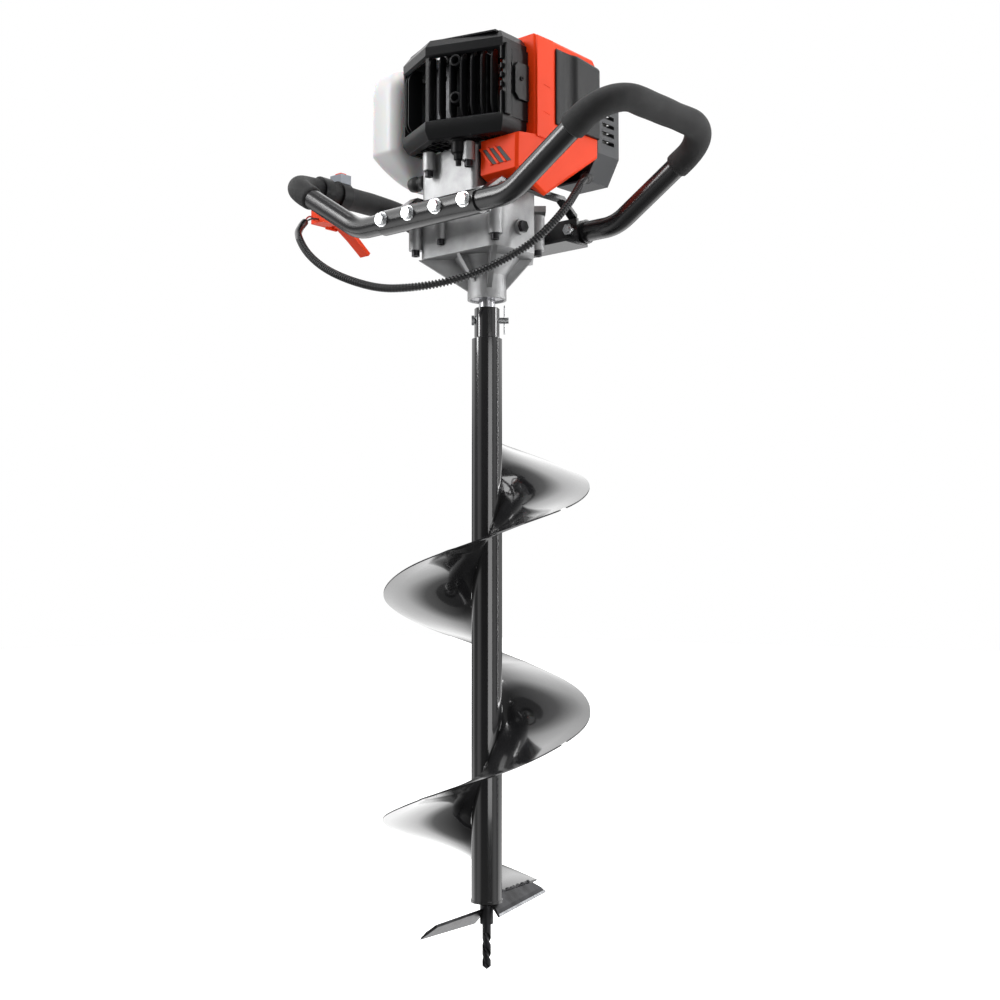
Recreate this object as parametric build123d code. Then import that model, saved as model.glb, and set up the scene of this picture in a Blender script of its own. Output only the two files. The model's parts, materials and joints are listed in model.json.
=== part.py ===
from build123d import *
import math
import os

os.makedirs("parts", exist_ok=True)

# Frame: the pilot drill's tip is the origin, Z is the bit's axis, X runs along the handle rails.

# Bit
BIT_RADIUS = 125.0
FLIGHT_PITCH = 270.0
FLIGHT_FOOT = 84.0
FLIGHT_TOP = 645.0
FLIGHT_FOOT_ANGLE = 101.8
FLIGHT_THICK = 3.0
TUBE_RADIUS = 18.5
TUBE_WALL = 3.0
TUBE_FOOT = 79.5
TUBE_TOP = 760.0
COLLAR_RADIUS = 15.5
COLLAR_TOP = 797.0
SHAFT_RADIUS = 10.0
PIN_RADIUS = 4.0
PIN_HEIGHT = 782.0
PIN_ANGLE = 42.5
CLIP_REACH = 21.5
CLIP_WIRE = 0.9
BLADE_THICK = 3.5
BLADE_PITCH = 45.0
DRILL_RADIUS = 5.2

# Gear train: two equal stages bring the drive back to the bit's axis.
MODULE = 1.0
PINION_TEETH = 11
GEAR_TEETH = 55
PRESSURE = math.radians(25)
ADDENDUM = 0.8 * MODULE
DEDENDUM = 1.05 * MODULE
BACKLASH = 0.16
COUNTER_X = -MODULE * (PINION_TEETH + GEAR_TEETH) / 2
FIT = 0.05

# Gearbox
CASE_X = 67.0
CASE_Y = 57.0
CASE_WALL = 3.5
CASE_FLOOR = 857.0
CASE_SPLIT = 896.0
CASE_TOP = 930.0
NOSE_RADIUS = 24.0
NOSE_FOOT = 807.0
BOSS_X = 66.0
BOSS_Y = 58.0
CLIP_ANGLE = 42.5
CORNER_SPOTS = [(-BOSS_X, -BOSS_Y), (-BOSS_X, BOSS_Y), (BOSS_X, -BOSS_Y), (46.0, 42.2)]
SIDE_SPOTS = [(-22, -CASE_Y - 2), (4, CASE_Y + 2), (-CASE_X - 2, 16)]
HOUSING_SPOTS = [(26, -61), (-40, -61), (26, 61), (-40, 61)]
PLUG_Y = -16.0
PLUG_Z = 884.0
BELL_RADIUS = 46.0
BELL_TOP = 985.0

# Engine, its cylinder lying along +X
CRANK_Z = 1030.0
CRANK_THROW = 12.0
ROD_LENGTH = 44.0
BORE_RADIUS = 21.0
ENGINE_TOP = 1075.0
FLYWHEEL_RADIUS = 41.0
STARTER_RADIUS = 54.0
STARTER_TOP = 1110.0
ROPE_X = -22.0
ROPE_Z = 1098.5

# Handles
RAIL_Y = 98.0
RAIL_Z = 898.0
RAIL_HALF = 80.0
RAIL_RADIUS = 15.0
HANDLE_RADIUS = 12.7
HANDLE_WALL = 2.0
ELBOW_X = 125.0
BAR_X = 266.0
BAR_Z = 985.0
GRIP_X = 213.0
GRIP_RADIUS = 15.5
BOLT_X = (-68.0, -22.7, 22.7, 68.0)
BOLT_RADIUS = 4.0

# Controls on the left grip
CLAMP_RADIUS = 19.0
PIVOT_Y = -10.0
PIVOT_Z = 945.5

# Wiring conduit
CONDUIT_RADIUS = 5.0
CONDUIT_ROUTE = [
    (68, 113, 972), (86, 82, 959), (100, 52, 936), (106, 24, 908), (94, -12, 867),
    (72, -40, 843), (44, -70, 822), (14, -96, 811), (-20, -113, 808), (-60, -123, 811),
    (-109, -127, 827), (-162, -121, 850), (-205, -113, 877), (-234, -103, 903),
    (-256, -87, 922), (-265, -67, 938),
]


def save(name, shape):
    """Write one piece to its file and print its volume."""
    export_step(shape, "parts/" + name + ".step")
    print(name, round(shape.volume))


def block(x, y, z):
    """Box spanning the three (low, high) ranges."""
    size = [pair[1] - pair[0] for pair in (x, y, z)]
    middle = [(pair[1] + pair[0]) / 2 for pair in (x, y, z)]
    return Pos(*middle) * Box(*size)


def pad(x, y, z, corner):
    """Upright block with rounded upright corners."""
    plan = RectangleRounded(x[1] - x[0], y[1] - y[0], corner)
    middle = ((x[0] + x[1]) / 2, (y[0] + y[1]) / 2, z[0])
    return Pos(*middle) * extrude(plan, amount=z[1] - z[0])


def ring(radius, bore, z, centre=(0, 0)):
    """Upright ring, or a plain disc when the bore is zero."""
    plan = Circle(radius)
    if bore:
        plan = plan - Circle(bore)
    return Pos(centre[0], centre[1], z[0]) * extrude(plan, amount=z[1] - z[0])


def rod(start, end, radius):
    """Round rod between two points."""
    axis = Vector(*end) - Vector(*start)
    return extrude(Plane(origin=start, z_dir=axis) * Circle(radius), amount=axis.length)


def taper(start, end, radius, end_radius):
    """Cone between two points."""
    axis = Vector(*end) - Vector(*start)
    first = Plane(origin=start, z_dir=axis) * Circle(radius)
    last = Plane(origin=end, z_dir=axis) * Circle(end_radius)
    return loft([first, last])


def prism(points, plane, depth):
    """Polygon drawn on a plane and extruded along the plane's normal."""
    return extrude(plane * make_face(Polyline(*points, close=True)), amount=depth)


def along_x(points, x):
    """Polygon of (y, z) points carried from the first x to the second."""
    return prism(points, Plane.YZ.offset(x[0]), x[1] - x[0])


def along_y(points, y):
    """Polygon of (x, z) points carried from the first y to the second."""
    return prism(points, Plane.XZ.offset(-y[0]), y[0] - y[1])


def swept(path, radius, bore=0):
    """Round bar or tube along a path."""
    plan = Circle(radius)
    if bore:
        plan = plan - Circle(bore)
    return sweep(Plane(origin=path @ 0, z_dir=path % 0) * plan, path=path)


def hexagon(width, plane, height):
    """Hexagonal prism of the given width across flats."""
    return extrude(plane * RegularPolygon(width / 2, 6, major_radius=False), amount=height)


# ---------------------------------------------------------------- bit

def bit_tube():
    """Centre tube of the bit with a slightly rolled lower lip."""
    tube = ring(TUBE_RADIUS, TUBE_RADIUS - TUBE_WALL, (TUBE_FOOT, TUBE_TOP))
    tube += ring(TUBE_RADIUS + 0.8, TUBE_RADIUS - 1, (TUBE_FOOT, TUBE_FOOT + 3))
    tube += ring(TUBE_RADIUS, DRILL_RADIUS, (TUBE_FOOT + 2, TUBE_FOOT + 10))
    return chamfer(tube.edges().filter_by(GeomType.CIRCLE).group_by(Axis.Z)[-1], 1.0)


def bit_collar():
    """Socket welded in the top of the tube, bored for the output shaft and cross pin."""
    socket = ring(COLLAR_RADIUS, 0, (TUBE_TOP - 35, COLLAR_TOP))
    socket -= ring(SHAFT_RADIUS + FIT, 0, (TUBE_TOP - 10, COLLAR_TOP))
    socket -= cross_bore(PIN_RADIUS + 0.1)
    return chamfer(socket.edges().group_by(Axis.Z)[-1], 0.8)


def cross_bore(radius):
    """Cutter for the hole the cross pin goes through."""
    reach = 2 * COLLAR_RADIUS
    turned = Rot(0, 0, PIN_ANGLE)
    return turned * rod((-reach, 0, PIN_HEIGHT), (reach, 0, PIN_HEIGHT), radius)


def flight():
    """Helical plate wound just over two turns round the tube."""
    middle = 60.0
    inner = TUBE_RADIUS + 0.15
    spiral = Helix(pitch=FLIGHT_PITCH, height=FLIGHT_TOP - FLIGHT_FOOT, radius=middle)
    spiral = Location((0, 0, FLIGHT_FOOT), (0, 0, FLIGHT_FOOT_ANGLE)) * spiral
    start = spiral @ 0
    outward = Vector(start.X, start.Y, 0)
    across = Rectangle(BIT_RADIUS - inner, FLIGHT_THICK)
    shift = (BIT_RADIUS + inner) / 2 - middle
    section = Plane(origin=start, x_dir=outward, z_dir=spiral % 0) * Pos(shift, 0) * across
    return sweep(section, path=spiral, is_frenet=True)


def cutting_blade(angle, trailing_z):
    """Tapered blade, pitched down towards its bevelled leading edge."""
    root = -4.0
    outline = [(0, 0), (105, 0), (122, -17), (root, -27)]
    plate = prism(outline, Plane.XY, BLADE_THICK)
    sweep_angle = math.degrees(math.atan2(10, 122 - root))
    bevel = [(-7.5, BLADE_THICK + 0.01), (0.01, 0.8), (0.01, BLADE_THICK + 0.01)]
    wedge = along_x([(-y, z) for y, z in bevel], (-20, 140))
    wedge = Pos(root, -27, 0) * Rot(0, 0, sweep_angle) * wedge
    plate -= wedge
    plate = Rot(0, 0, angle) * Pos(0, 0, trailing_z) * Rot(BLADE_PITCH, 0, 0) * plate
    plate -= ring(TUBE_RADIUS + 1.5, 0, (TUBE_FOOT - 0.4, FLIGHT_TOP))
    return plate - ring(8, 0, (0, FLIGHT_TOP))


def pilot_drill():
    """Twist drill that starts the hole, and the small hub on it that carries the blades."""
    height = 44.0
    section = Circle(DRILL_RADIUS)
    for side in (-1, 1):
        section -= Pos(side * 5.6, 0) * Circle(4.1)
    fluted = Solid.extrude_linear_with_rotation(
        section.face(), (0, 0, 0), (0, 0, height), -430.0
    )
    shank = ring(DRILL_RADIUS, 0, (height, TUBE_FOOT + 10))
    point = taper((0, 0, 0), (0, 0, 4.2), 0.3, DRILL_RADIUS + 0.1)
    limit = point + ring(DRILL_RADIUS + 0.1, 0, (4.2, height))
    hub = ring(8, DRILL_RADIUS, (54, 76))
    return Compound(children=[shank + (fluted & limit), hub])


def cross_pin():
    """Clevis pin with a flat head and a hole for its clip."""
    head = rod((-COLLAR_RADIUS - 3.4, 0, 0), (-COLLAR_RADIUS - 0.4, 0, 0), 6.5)
    shank = rod((-COLLAR_RADIUS - 0.4, 0, 0), (CLIP_REACH + 5, 0, 0), PIN_RADIUS)
    pin = head + shank
    pin -= rod((CLIP_REACH, 0, -6), (CLIP_REACH, 0, 6), CLIP_WIRE + 0.15)
    return Rot(0, 0, PIN_ANGLE) * Pos(0, 0, PIN_HEIGHT) * pin


def r_clip():
    """Spring wire clip, one leg through the pin and the other waved round it."""
    leg = [(0, -17), (0, 15), (4, 20), (9, 15), (9, 9), (5.4, 3), (9, -6), (11, -12)]
    wire = FilletPolyline(*[(CLIP_REACH, y, z) for y, z in leg], radius=2.2)
    return Rot(0, 0, PIN_ANGLE) * Pos(0, 0, PIN_HEIGHT) * swept(wire, CLIP_WIRE)


# ---------------------------------------------------------------- gear train

def gear(teeth, z, centre, phase):
    """Spur gear with stubbed involute teeth, one of them centred on the phase angle."""
    pitch_radius = MODULE * teeth / 2
    base = pitch_radius * math.cos(PRESSURE)
    tip = pitch_radius + ADDENDUM
    root = pitch_radius - DEDENDUM
    half = math.pi / (2 * teeth) - BACKLASH / (2 * pitch_radius)
    half += math.tan(PRESSURE) - PRESSURE
    flank = []
    steps = 4
    first = max(base, root)
    for step in range(steps + 1):
        radius = first + (tip - first) * step / steps
        roll = math.acos(min(1.0, base / radius))
        flank.append((radius, half - (math.tan(roll) - roll)))
    if root < base:
        flank.insert(0, (root, flank[0][1]))
    points = []
    for tooth in range(teeth):
        middle = math.radians(phase) + 2 * math.pi * tooth / teeth
        sides = [(r, middle - a) for r, a in flank] + [(r, middle + a) for r, a in reversed(flank)]
        points += [(r * math.cos(a), r * math.sin(a)) for r, a in sides]
    plan = make_face(Polyline(*points, close=True))
    return Pos(centre[0], centre[1], z[0]) * extrude(plan, amount=z[1] - z[0])


def output_shaft():
    """Shaft that carries the bit, stepped for the upper bearing."""
    shaft = ring(SHAFT_RADIUS, 0, (TUBE_TOP - 3, 880)) + ring(7.5, 0, (880, 890.5))
    return shaft - cross_bore(PIN_RADIUS + 0.1)


def output_gear():
    """Large gear of the second stage, recessed web and hub."""
    wheel = gear(GEAR_TEETH, (864, 878), (0, 0), 180)
    for z in ((863, 867), (875, 879)):
        wheel -= ring(23, 15, z)
    return wheel - ring(SHAFT_RADIUS, 0, (860, 882))


def countershaft():
    """Second shaft, its small pinion cut in one piece with it."""
    centre = (COUNTER_X, 0)
    shaft = ring(4, 0, (853, 913), centre)
    shaft += gear(PINION_TEETH, (862.5, 879), centre, 180 / PINION_TEETH)
    return shaft + ring(5, 0, (879, 892.5), centre)


def intermediate_gear():
    """Large gear of the first stage, pressed on the countershaft."""
    centre = (COUNTER_X, 0)
    wheel = gear(GEAR_TEETH, (893, 903), centre, 0)
    for z in ((892, 895.5), (900.5, 904)):
        wheel -= ring(23, 12, z, centre)
    return wheel - ring(4, 0, (890, 906), centre)


def input_pinion():
    """Small pinion of the first stage with the shaft that comes down from the clutch drum."""
    pinion = gear(PINION_TEETH, (892, 904.5), (0, 0), 180 + 180 / PINION_TEETH)
    return pinion + ring(7.5 - FIT, 0, (904.5, 932)) + ring(6, 0, (932, 940))


def clutch_drum():
    """Cup that the clutch shoes drive."""
    cup = ring(39, 6, (932.5, 962)) - ring(36, 0, (935.5, 962))
    return cup + ring(11, 6, (935.5, 940))


def clutch_shoes():
    """Hub on the crankshaft's end with three shoes held close to it."""
    pieces = [ring(12, 6, (942, 956))]
    for turn in (0, 120, 240):
        arm = block((11, 23), (-4, 4), (944, 954))
        shoe = ring(35.5, 24, (942, 956)) & prism(
            [(0, 0), (70, -75), (70, 75)], Plane.XY.offset(940), 20
        )
        pieces[0] += Rot(0, 0, turn) * arm
        pieces.append(Rot(0, 0, turn) * shoe)
    return Compound(children=pieces)


def bearing(radius, bore, z, centre=(0, 0)):
    """Ball bearing as one grooved ring."""
    middle = (radius + bore) / 2
    width = (radius - bore) / 6
    race = ring(radius, bore, z, centre)
    for side in ((z[0] - 1, z[0] + 0.8), (z[1] - 0.8, z[1] + 1)):
        race -= ring(middle + width, middle - width, side, centre)
    return race


def bearings():
    """Seven ball bearings of the gearbox and crankcase, and the seal in the nose."""
    counter = (COUNTER_X, 0)
    return Compound(children=[
        ring(21, SHAFT_RADIUS + FIT, (809, 816)),
        bearing(21, SHAFT_RADIUS + FIT, (817, 829)),
        bearing(16, 7.5 + FIT, (881, 890)),
        bearing(11, 4 + FIT, (852.5, 859.5), counter),
        bearing(11, 4 + FIT, (907, 914), counter),
        bearing(17.5, 7.5, (911, 922)),
        bearing(17.5, 7.5, (989, 1000)),
        bearing(17.5, 7.5, (1060, 1071)),
    ])


# ---------------------------------------------------------------- gearbox

def corner_bosses(radius, z):
    """Four upright screw bosses at the corners of the gearbox."""
    bosses = [ring(radius, 0, z, spot) for spot in CORNER_SPOTS]
    return bosses[0] + bosses[1:]


def side_bosses(radius, z):
    """Three more screw bosses part way along the gearbox's sides."""
    bosses = [ring(radius, 0, z, spot) for spot in SIDE_SPOTS]
    return bosses[0] + bosses[1:]


def corner_cutter(reach, z):
    """Cutter for the gearbox's clipped corner, beyond an upright plane that far from the axis."""
    return Rot(0, 0, CLIP_ANGLE) * block((reach, reach + 60), (-80, 80), z)


def gearbox_lower():
    """Lower casting: oil box, ribbed cone and the nose with its bearing seat."""
    case = pad((-CASE_X, CASE_X), (-CASE_Y, CASE_Y), (CASE_FLOOR, CASE_SPLIT), 18)
    case -= corner_cutter(57, (850, 900))
    case += ring(NOSE_RADIUS, 0, (NOSE_FOOT, CASE_FLOOR))
    case += taper((0, 0, 836), (0, 0, CASE_FLOOR), NOSE_RADIUS, 40)
    for angle, reach in ((41, 56), (139, 84), (221, 84), (319, 84)):
        web = along_y([(20, 816), (reach, CASE_FLOOR), (20, CASE_FLOOR)], (-3, 3))
        case += Rot(0, 0, angle) * web
    for angle in (-90, 90):
        web = along_y([(20, 822), (52, CASE_FLOOR), (20, CASE_FLOOR)], (-2.5, 2.5))
        case += Rot(0, 0, angle) * web
    case += ring(15, 0, (849, CASE_FLOOR), (COUNTER_X, 0))
    case += corner_bosses(8.5, (869, CASE_SPLIT))
    case += side_bosses(7, (876, CASE_SPLIT))
    inner_x = CASE_X - CASE_WALL
    inner_y = CASE_Y - CASE_WALL
    hollow = pad((-inner_x, inner_x), (-inner_y, inner_y), (CASE_FLOOR + 4, CASE_SPLIT), 15)
    case += rod((CASE_X - 2, PLUG_Y, PLUG_Z), (CASE_X + 4, PLUG_Y, PLUG_Z), 9.5)
    case -= hollow - corner_cutter(53.5, (850, 900))
    case -= rod((CASE_X - 6, PLUG_Y, PLUG_Z), (CASE_X + 5, PLUG_Y, PLUG_Z), 4)
    case -= ring(21, 0, (NOSE_FOOT, 830))
    case -= ring(15, 0, (829, CASE_FLOOR + 5))
    case -= ring(11, 0, (852, CASE_FLOOR + 5), (COUNTER_X, 0))
    case -= corner_bosses(3.2, (860, CASE_SPLIT + 1))
    case -= side_bosses(4.6, (868, 876))
    return case - side_bosses(2.7, (870, CASE_SPLIT + 1))


def bearing_plate():
    """Plate across the case that holds the output shaft's upper bearing."""
    edge_x = CASE_X - CASE_WALL
    edge_y = CASE_Y - CASE_WALL
    plate = pad((-edge_x, edge_x), (-edge_y, edge_y), (880, 892), 15)
    plate -= corner_cutter(53.5, (870, 900))
    recess = pad((-edge_x + 6, edge_x - 6), (-edge_y + 6, edge_y - 6), (884, 892), 10)
    plate -= recess - corner_cutter(47.5, (870, 900))
    plate += ring(20, 0, (884, 891))
    plate -= ring(16, 0, (881, 893))
    plate -= ring(12, 0, (879, 881.5))
    return plate - ring(8, 0, (879, 893), (COUNTER_X, 0))


def gearbox_upper():
    """Upper casting: roof of the gear case with the input bearing seats."""
    case = pad((-CASE_X, CASE_X), (-CASE_Y, CASE_Y), (CASE_SPLIT, CASE_TOP), 18)
    case -= corner_cutter(57, (890, 940))
    case += corner_bosses(8.5, (CASE_SPLIT, 912))
    case += side_bosses(7, (CASE_SPLIT, 912))
    case += Rot(0, 0, CLIP_ANGLE) * block((55, 72), (-16, 8), (914, 921))
    inner_x = CASE_X - CASE_WALL
    inner_y = CASE_Y - CASE_WALL
    hollow = pad((-inner_x, inner_x), (-inner_y, inner_y), (CASE_SPLIT, 907), 15)
    case -= hollow - corner_cutter(53.5, (890, 940))
    case -= ring(17.5, 0, (911, 922))
    case -= ring(12, 0, (906, CASE_TOP))
    case -= ring(11, 0, (906, 914), (COUNTER_X, 0))
    case -= corner_bosses(3.2, (CASE_SPLIT - 1, 908))
    return case - side_bosses(2.7, (CASE_SPLIT - 1, 908))


def cap_screw(radius, head_radius, z, centre):
    """Socket head screw standing head down, from z[0] to z[2] with the head under z[1]."""
    screw = ring(head_radius, 0, (z[0], z[1]), centre) + ring(radius, 0, (z[1], z[2]), centre)
    return screw - Pos(0, 0, 0) * hexagon(head_radius, Plane((*centre, z[0] - 1)), 4)


def gearbox_screws():
    """Socket screws that close the gearbox, and the plug of the oil filler on its side."""
    screws = [cap_screw(3, 5, (862, 869, 906), spot) for spot in CORNER_SPOTS]
    screws += [cap_screw(2.5, 4.3, (870, 876, 906), spot) for spot in SIDE_SPOTS]
    screws += [cap_screw(3, 5, (956, 963, 980), spot) for spot in HOUSING_SPOTS]
    plug = rod((CASE_X - 3.3, PLUG_Y, PLUG_Z), (CASE_X + 4, PLUG_Y, PLUG_Z), 4)
    head = Plane(origin=(CASE_X + 4, PLUG_Y, PLUG_Z), x_dir=(0, 1, 0), z_dir=(1, 0, 0))
    return Compound(children=screws + [plug + hexagon(13, head, 4.5)])


def clutch_housing():
    """Bell casting that joins the gearbox to the crankcase."""
    bell = ring(BELL_RADIUS, 0, (CASE_TOP, BELL_TOP))
    bell += pad((-62, 30), (-54, 54), (CASE_TOP, BELL_TOP), 8)
    for spot in HOUSING_SPOTS:
        bell += ring(8, 0, (963, BELL_TOP), spot) - ring(3, 0, (960, 982), spot)
    return bell - ring(42, 0, (CASE_TOP, BELL_TOP))


# ---------------------------------------------------------------- engine

def crankcase():
    """Crankcase with its bearing seats and the opening for the cylinder."""
    case = pad((-42, 34), (-44, 44), (BELL_TOP, ENGINE_TOP), 8)
    case += ring(43.9, 0, (BELL_TOP, BELL_TOP + 6))
    case -= ring(25, 0, (1004, 1056))
    case -= ring(17.5, 0, (989, 1071))
    case -= ring(9, 0, (984, ENGINE_TOP + 1))
    return case - rod((0, 0, CRANK_Z), (40, 0, CRANK_Z), BORE_RADIUS)


def crankshaft():
    """Crankshaft with two webs and the crankpin at top dead centre."""
    pin_z = (CRANK_Z - 7, CRANK_Z + 7)
    shaft = ring(6, 0, (942, 985)) + ring(7.5, 0, (985, pin_z[0] - 7))
    shaft += ring(22, 0, (pin_z[0] - 7, pin_z[0]))
    shaft += ring(6, 0, pin_z, (CRANK_THROW, 0))
    shaft += ring(22, 0, (pin_z[1], pin_z[1] + 7))
    return shaft + ring(7.5, 0, (pin_z[1] + 7, 1077.5)) + ring(6, 0, (1077.5, 1090.5))


def connecting_rod():
    """Connecting rod from the crankpin to the piston pin."""
    wrist = CRANK_THROW + ROD_LENGTH
    z = (CRANK_Z - 5, CRANK_Z + 5)
    link = ring(9, 0, z, (CRANK_THROW, 0)) + ring(7, 0, z, (wrist, 0))
    link += block((CRANK_THROW + 6, wrist - 4), (-3.5, 3.5), (CRANK_Z - 4, CRANK_Z + 4))
    return link - ring(6, 0, z, (CRANK_THROW, 0)) - ring(4, 0, z, (wrist, 0))


def piston():
    """Hollow piston with two ring grooves, and the pin that joins it to the rod."""
    wrist = CRANK_THROW + ROD_LENGTH
    radius = BORE_RADIUS - FIT
    crown = wrist + 12
    body = rod((wrist - 9, 0, CRANK_Z), (crown, 0, CRANK_Z), radius)
    body -= rod((wrist - 10, 0, CRANK_Z), (crown - 4, 0, CRANK_Z), radius - 3)
    for x in (crown - 4, crown - 7.5):
        groove = rod((x, 0, CRANK_Z), (x + 1.2, 0, CRANK_Z), radius + 1)
        body -= groove - rod((x - 1, 0, CRANK_Z), (x + 2, 0, CRANK_Z), radius - 1.2)
    body -= ring(4, 0, (CRANK_Z - 30, CRANK_Z + 30), (wrist, 0))
    pin = ring(4, 0, (CRANK_Z - 18, CRANK_Z + 18), (wrist, 0))
    return Compound(children=[body, pin])


def cylinder():
    """Finned cylinder with its exhaust port to -Y, inlet port to +Y and plug hole on top."""
    def x_rod(x, radius):
        return rod((x[0], 0, CRANK_Z), (x[1], 0, CRANK_Z), radius)

    barrel = x_rod((34, 78), 26)
    barrel += block((34, 39), (-32, 32), (CRANK_Z - 32, CRANK_Z + 32))
    for x in range(57, 79, 6):
        barrel += block((x, x + 2.2), (-36, 36), (CRANK_Z - 38, CRANK_Z + 38))
    barrel += block((41, 56), (-46, 46), (CRANK_Z - 12, CRANK_Z + 12))
    barrel += ring(8, 0, (CRANK_Z, CRANK_Z + 34), (71, 0))
    barrel -= x_rod((33, 69), BORE_RADIUS)
    barrel -= x_rod((68, 73.5), 16)
    barrel -= rod((48.5, -47, CRANK_Z), (48.5, 47, CRANK_Z), 6.5)
    barrel -= ring(10, 0, (CRANK_Z + 34, CRANK_Z + 40), (71, 0))
    return barrel - ring(5, 0, (CRANK_Z + 10, CRANK_Z + 35), (71, 0))


def spark_plug():
    """Spark plug standing in the cylinder head."""
    seat = CRANK_Z + 34
    plug = ring(5, 0, (seat - 12, seat), (71, 0))
    plug += hexagon(16, Plane((71, 0, seat)), 8)
    return plug + ring(5, 0, (seat + 8, seat + 24), (71, 0))


def ignition_coil():
    """Ignition coil beside the flywheel, with the plug cap its lead ends in."""
    coil = block((-64, -42.5), (-12, 12), (1078, 1091))
    coil += block((-44.5, -42.5), (-20, 20), (1080, 1091))
    coil += block((-54, -42.5), (-6, 6), (ENGINE_TOP, 1079))
    route = FilletPolyline(
        (-56, 12, 1085), (-56, 50, 1081), (40, 50, 1080), (71, 40, 1090), (71, 8, 1096), radius=10
    )
    cap = ring(8.5, 0, (1073, 1102), (71, 0)) - ring(5, 0, (1070, 1088), (71, 0))
    cap -= ring(9.4, 0, (1070, 1075), (71, 0))
    return Compound(children=[coil, swept(route, 2.5), cap])


def flywheel():
    """Magnet flywheel with cooling fan blades."""
    wheel = ring(FLYWHEEL_RADIUS, 6, (1078, 1090))
    wheel -= ring(FLYWHEEL_RADIUS - 5, 14, (1084, 1091))
    for number in range(12):
        blade = block((13, FLYWHEEL_RADIUS - 3), (-1, 1), (1083, 1089.5))
        wheel += Rot(0, 0, number * 30) * blade
    return wheel


def starter_housing():
    """Round cover over the flywheel and starter, on four feet, with a hole for the rope."""
    cover = ring(STARTER_RADIUS, STARTER_RADIUS - 3, (1092.5, STARTER_TOP))
    cover += ring(STARTER_RADIUS, 0, (STARTER_TOP - 3, STARTER_TOP))
    cover += ring(5, 0, (1092, STARTER_TOP))
    for x in (-37, 30):
        for y in (-39, 39):
            cover += ring(4.5, 0, (ENGINE_TOP, 1095), (x, y)) - ring(48, 0, (1090, 1110))
            cover += ring(4.5, 0, (1092.5, 1098), (x, y)) - ring(STARTER_RADIUS - 3, 0, (1090, 1110))
    for number in range(10):
        slot = block((24, 44), (-2.5, 2.5), (STARTER_TOP - 4, STARTER_TOP + 1))
        cover -= Rot(0, 0, number * 36) * slot
    return cover - rod((ROPE_X, 20, ROPE_Z), (ROPE_X, 60, ROPE_Z), 2.6)


def starter_pulley():
    """Rope pulley of the recoil starter."""
    wheel = ring(27, 5 + 0.08, (1093.5, 1103.5))
    return wheel - (ring(28, 0, (1095.5, 1101.5)) - ring(20, 0, (1095, 1102)))


def starter_rope():
    """Free run of the starter rope, from the pulley out to the pull handle."""
    return rod((ROPE_X, 0, ROPE_Z), (ROPE_X, 60, ROPE_Z), 1.8)


def starter_handle():
    """T-shaped pull handle on the end of the rope."""
    grip = rod((ROPE_X, 68, ROPE_Z - 19), (ROPE_X, 68, ROPE_Z + 19), 8)
    grip = fillet(grip.edges(), 3)
    neck = taper((ROPE_X, 64, ROPE_Z), (ROPE_X, 52, ROPE_Z), 7, 5)
    return grip + neck - rod((ROPE_X, 50, ROPE_Z), (ROPE_X, 60, ROPE_Z), 2.0)


def muffler():
    """Pressed steel muffler bolted to the exhaust port."""
    can = pad((-30, 56), (-64, -46), (1002, 1088), 8)
    can = fillet(can.edges().filter_by(Plane.XY), 3)
    can -= block((-27, 53), (-61, -49), (1006, 1084))
    can -= rod((48.5, -50, CRANK_Z), (48.5, -40, CRANK_Z), 6.5)
    return can - rod((-12, -75, 1070), (-12, -60, 1070), 5)


GUARD_PLAN = [(83, -16), (83, -64), (-10, -98.5), (-76, -71), (-76, -16)]


def guard_plan(inset):
    """The guard's outline in plan, moved inwards by a wall thickness."""
    moved = [(83 - inset, -16), (83 - inset, -64 + inset * 0.7), (-10, -98.5 + inset * 1.06)]
    return moved + [(-76 + inset, -71 + inset * 0.7), (-76 + inset, -16)]


def muffler_guard():
    """Slatted guard in front of the muffler, wider at its upper and lower bands."""
    guard = prism(guard_plan(4), Plane.XY.offset(987), 123)
    for z in (987, 1088):
        guard += prism(GUARD_PLAN, Plane.XY.offset(z), 22)
    guard -= prism(guard_plan(6.5), Plane.XY.offset(989.5), 118)
    across = Plane(origin=(-10, -98.5, 0), x_dir=(93, 34.5, 0), z_dir=(34.5, -93, 0))
    pitch = 12.5
    for number in range(6):
        middle = 13 + pitch * number
        slot = [(middle - 4, 1014), (middle + 4, 1014), (middle + 4, 1083), (middle - 4, 1083)]
        guard -= extrude(across * make_face(Polyline(*slot, close=True)), amount=12, both=True)
    left = Plane(origin=(-76, -71, 0), x_dir=(66, -27.5, 0), z_dir=(-27.5, -66, 0))
    opening = [(10, 1014), (48, 1014), (48, 1083), (10, 1083)]
    guard -= extrude(left * make_face(Polyline(*opening, close=True)), amount=12, both=True)
    for z in (1022, 1036, 1050, 1064):
        guard -= block((70, 90), (-58, -40), (z, z + 6))
    for x in range(-60, 70, 14):
        guard -= block((x, x + 7), (-66, -50), (980, 992))
    guard -= block((-72, 79), (-47, -15), (980, 1112))
    return guard - ring(STARTER_RADIUS + 1.5, 0, (1088, 1112))


SHROUD_SIDE = [
    (-15, 987), (-50, 987), (-50, 944), (2, 921), (48, 952), (106, 990), (106, 1106), (96, 1116),
    (-15, 1116),
]


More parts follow.
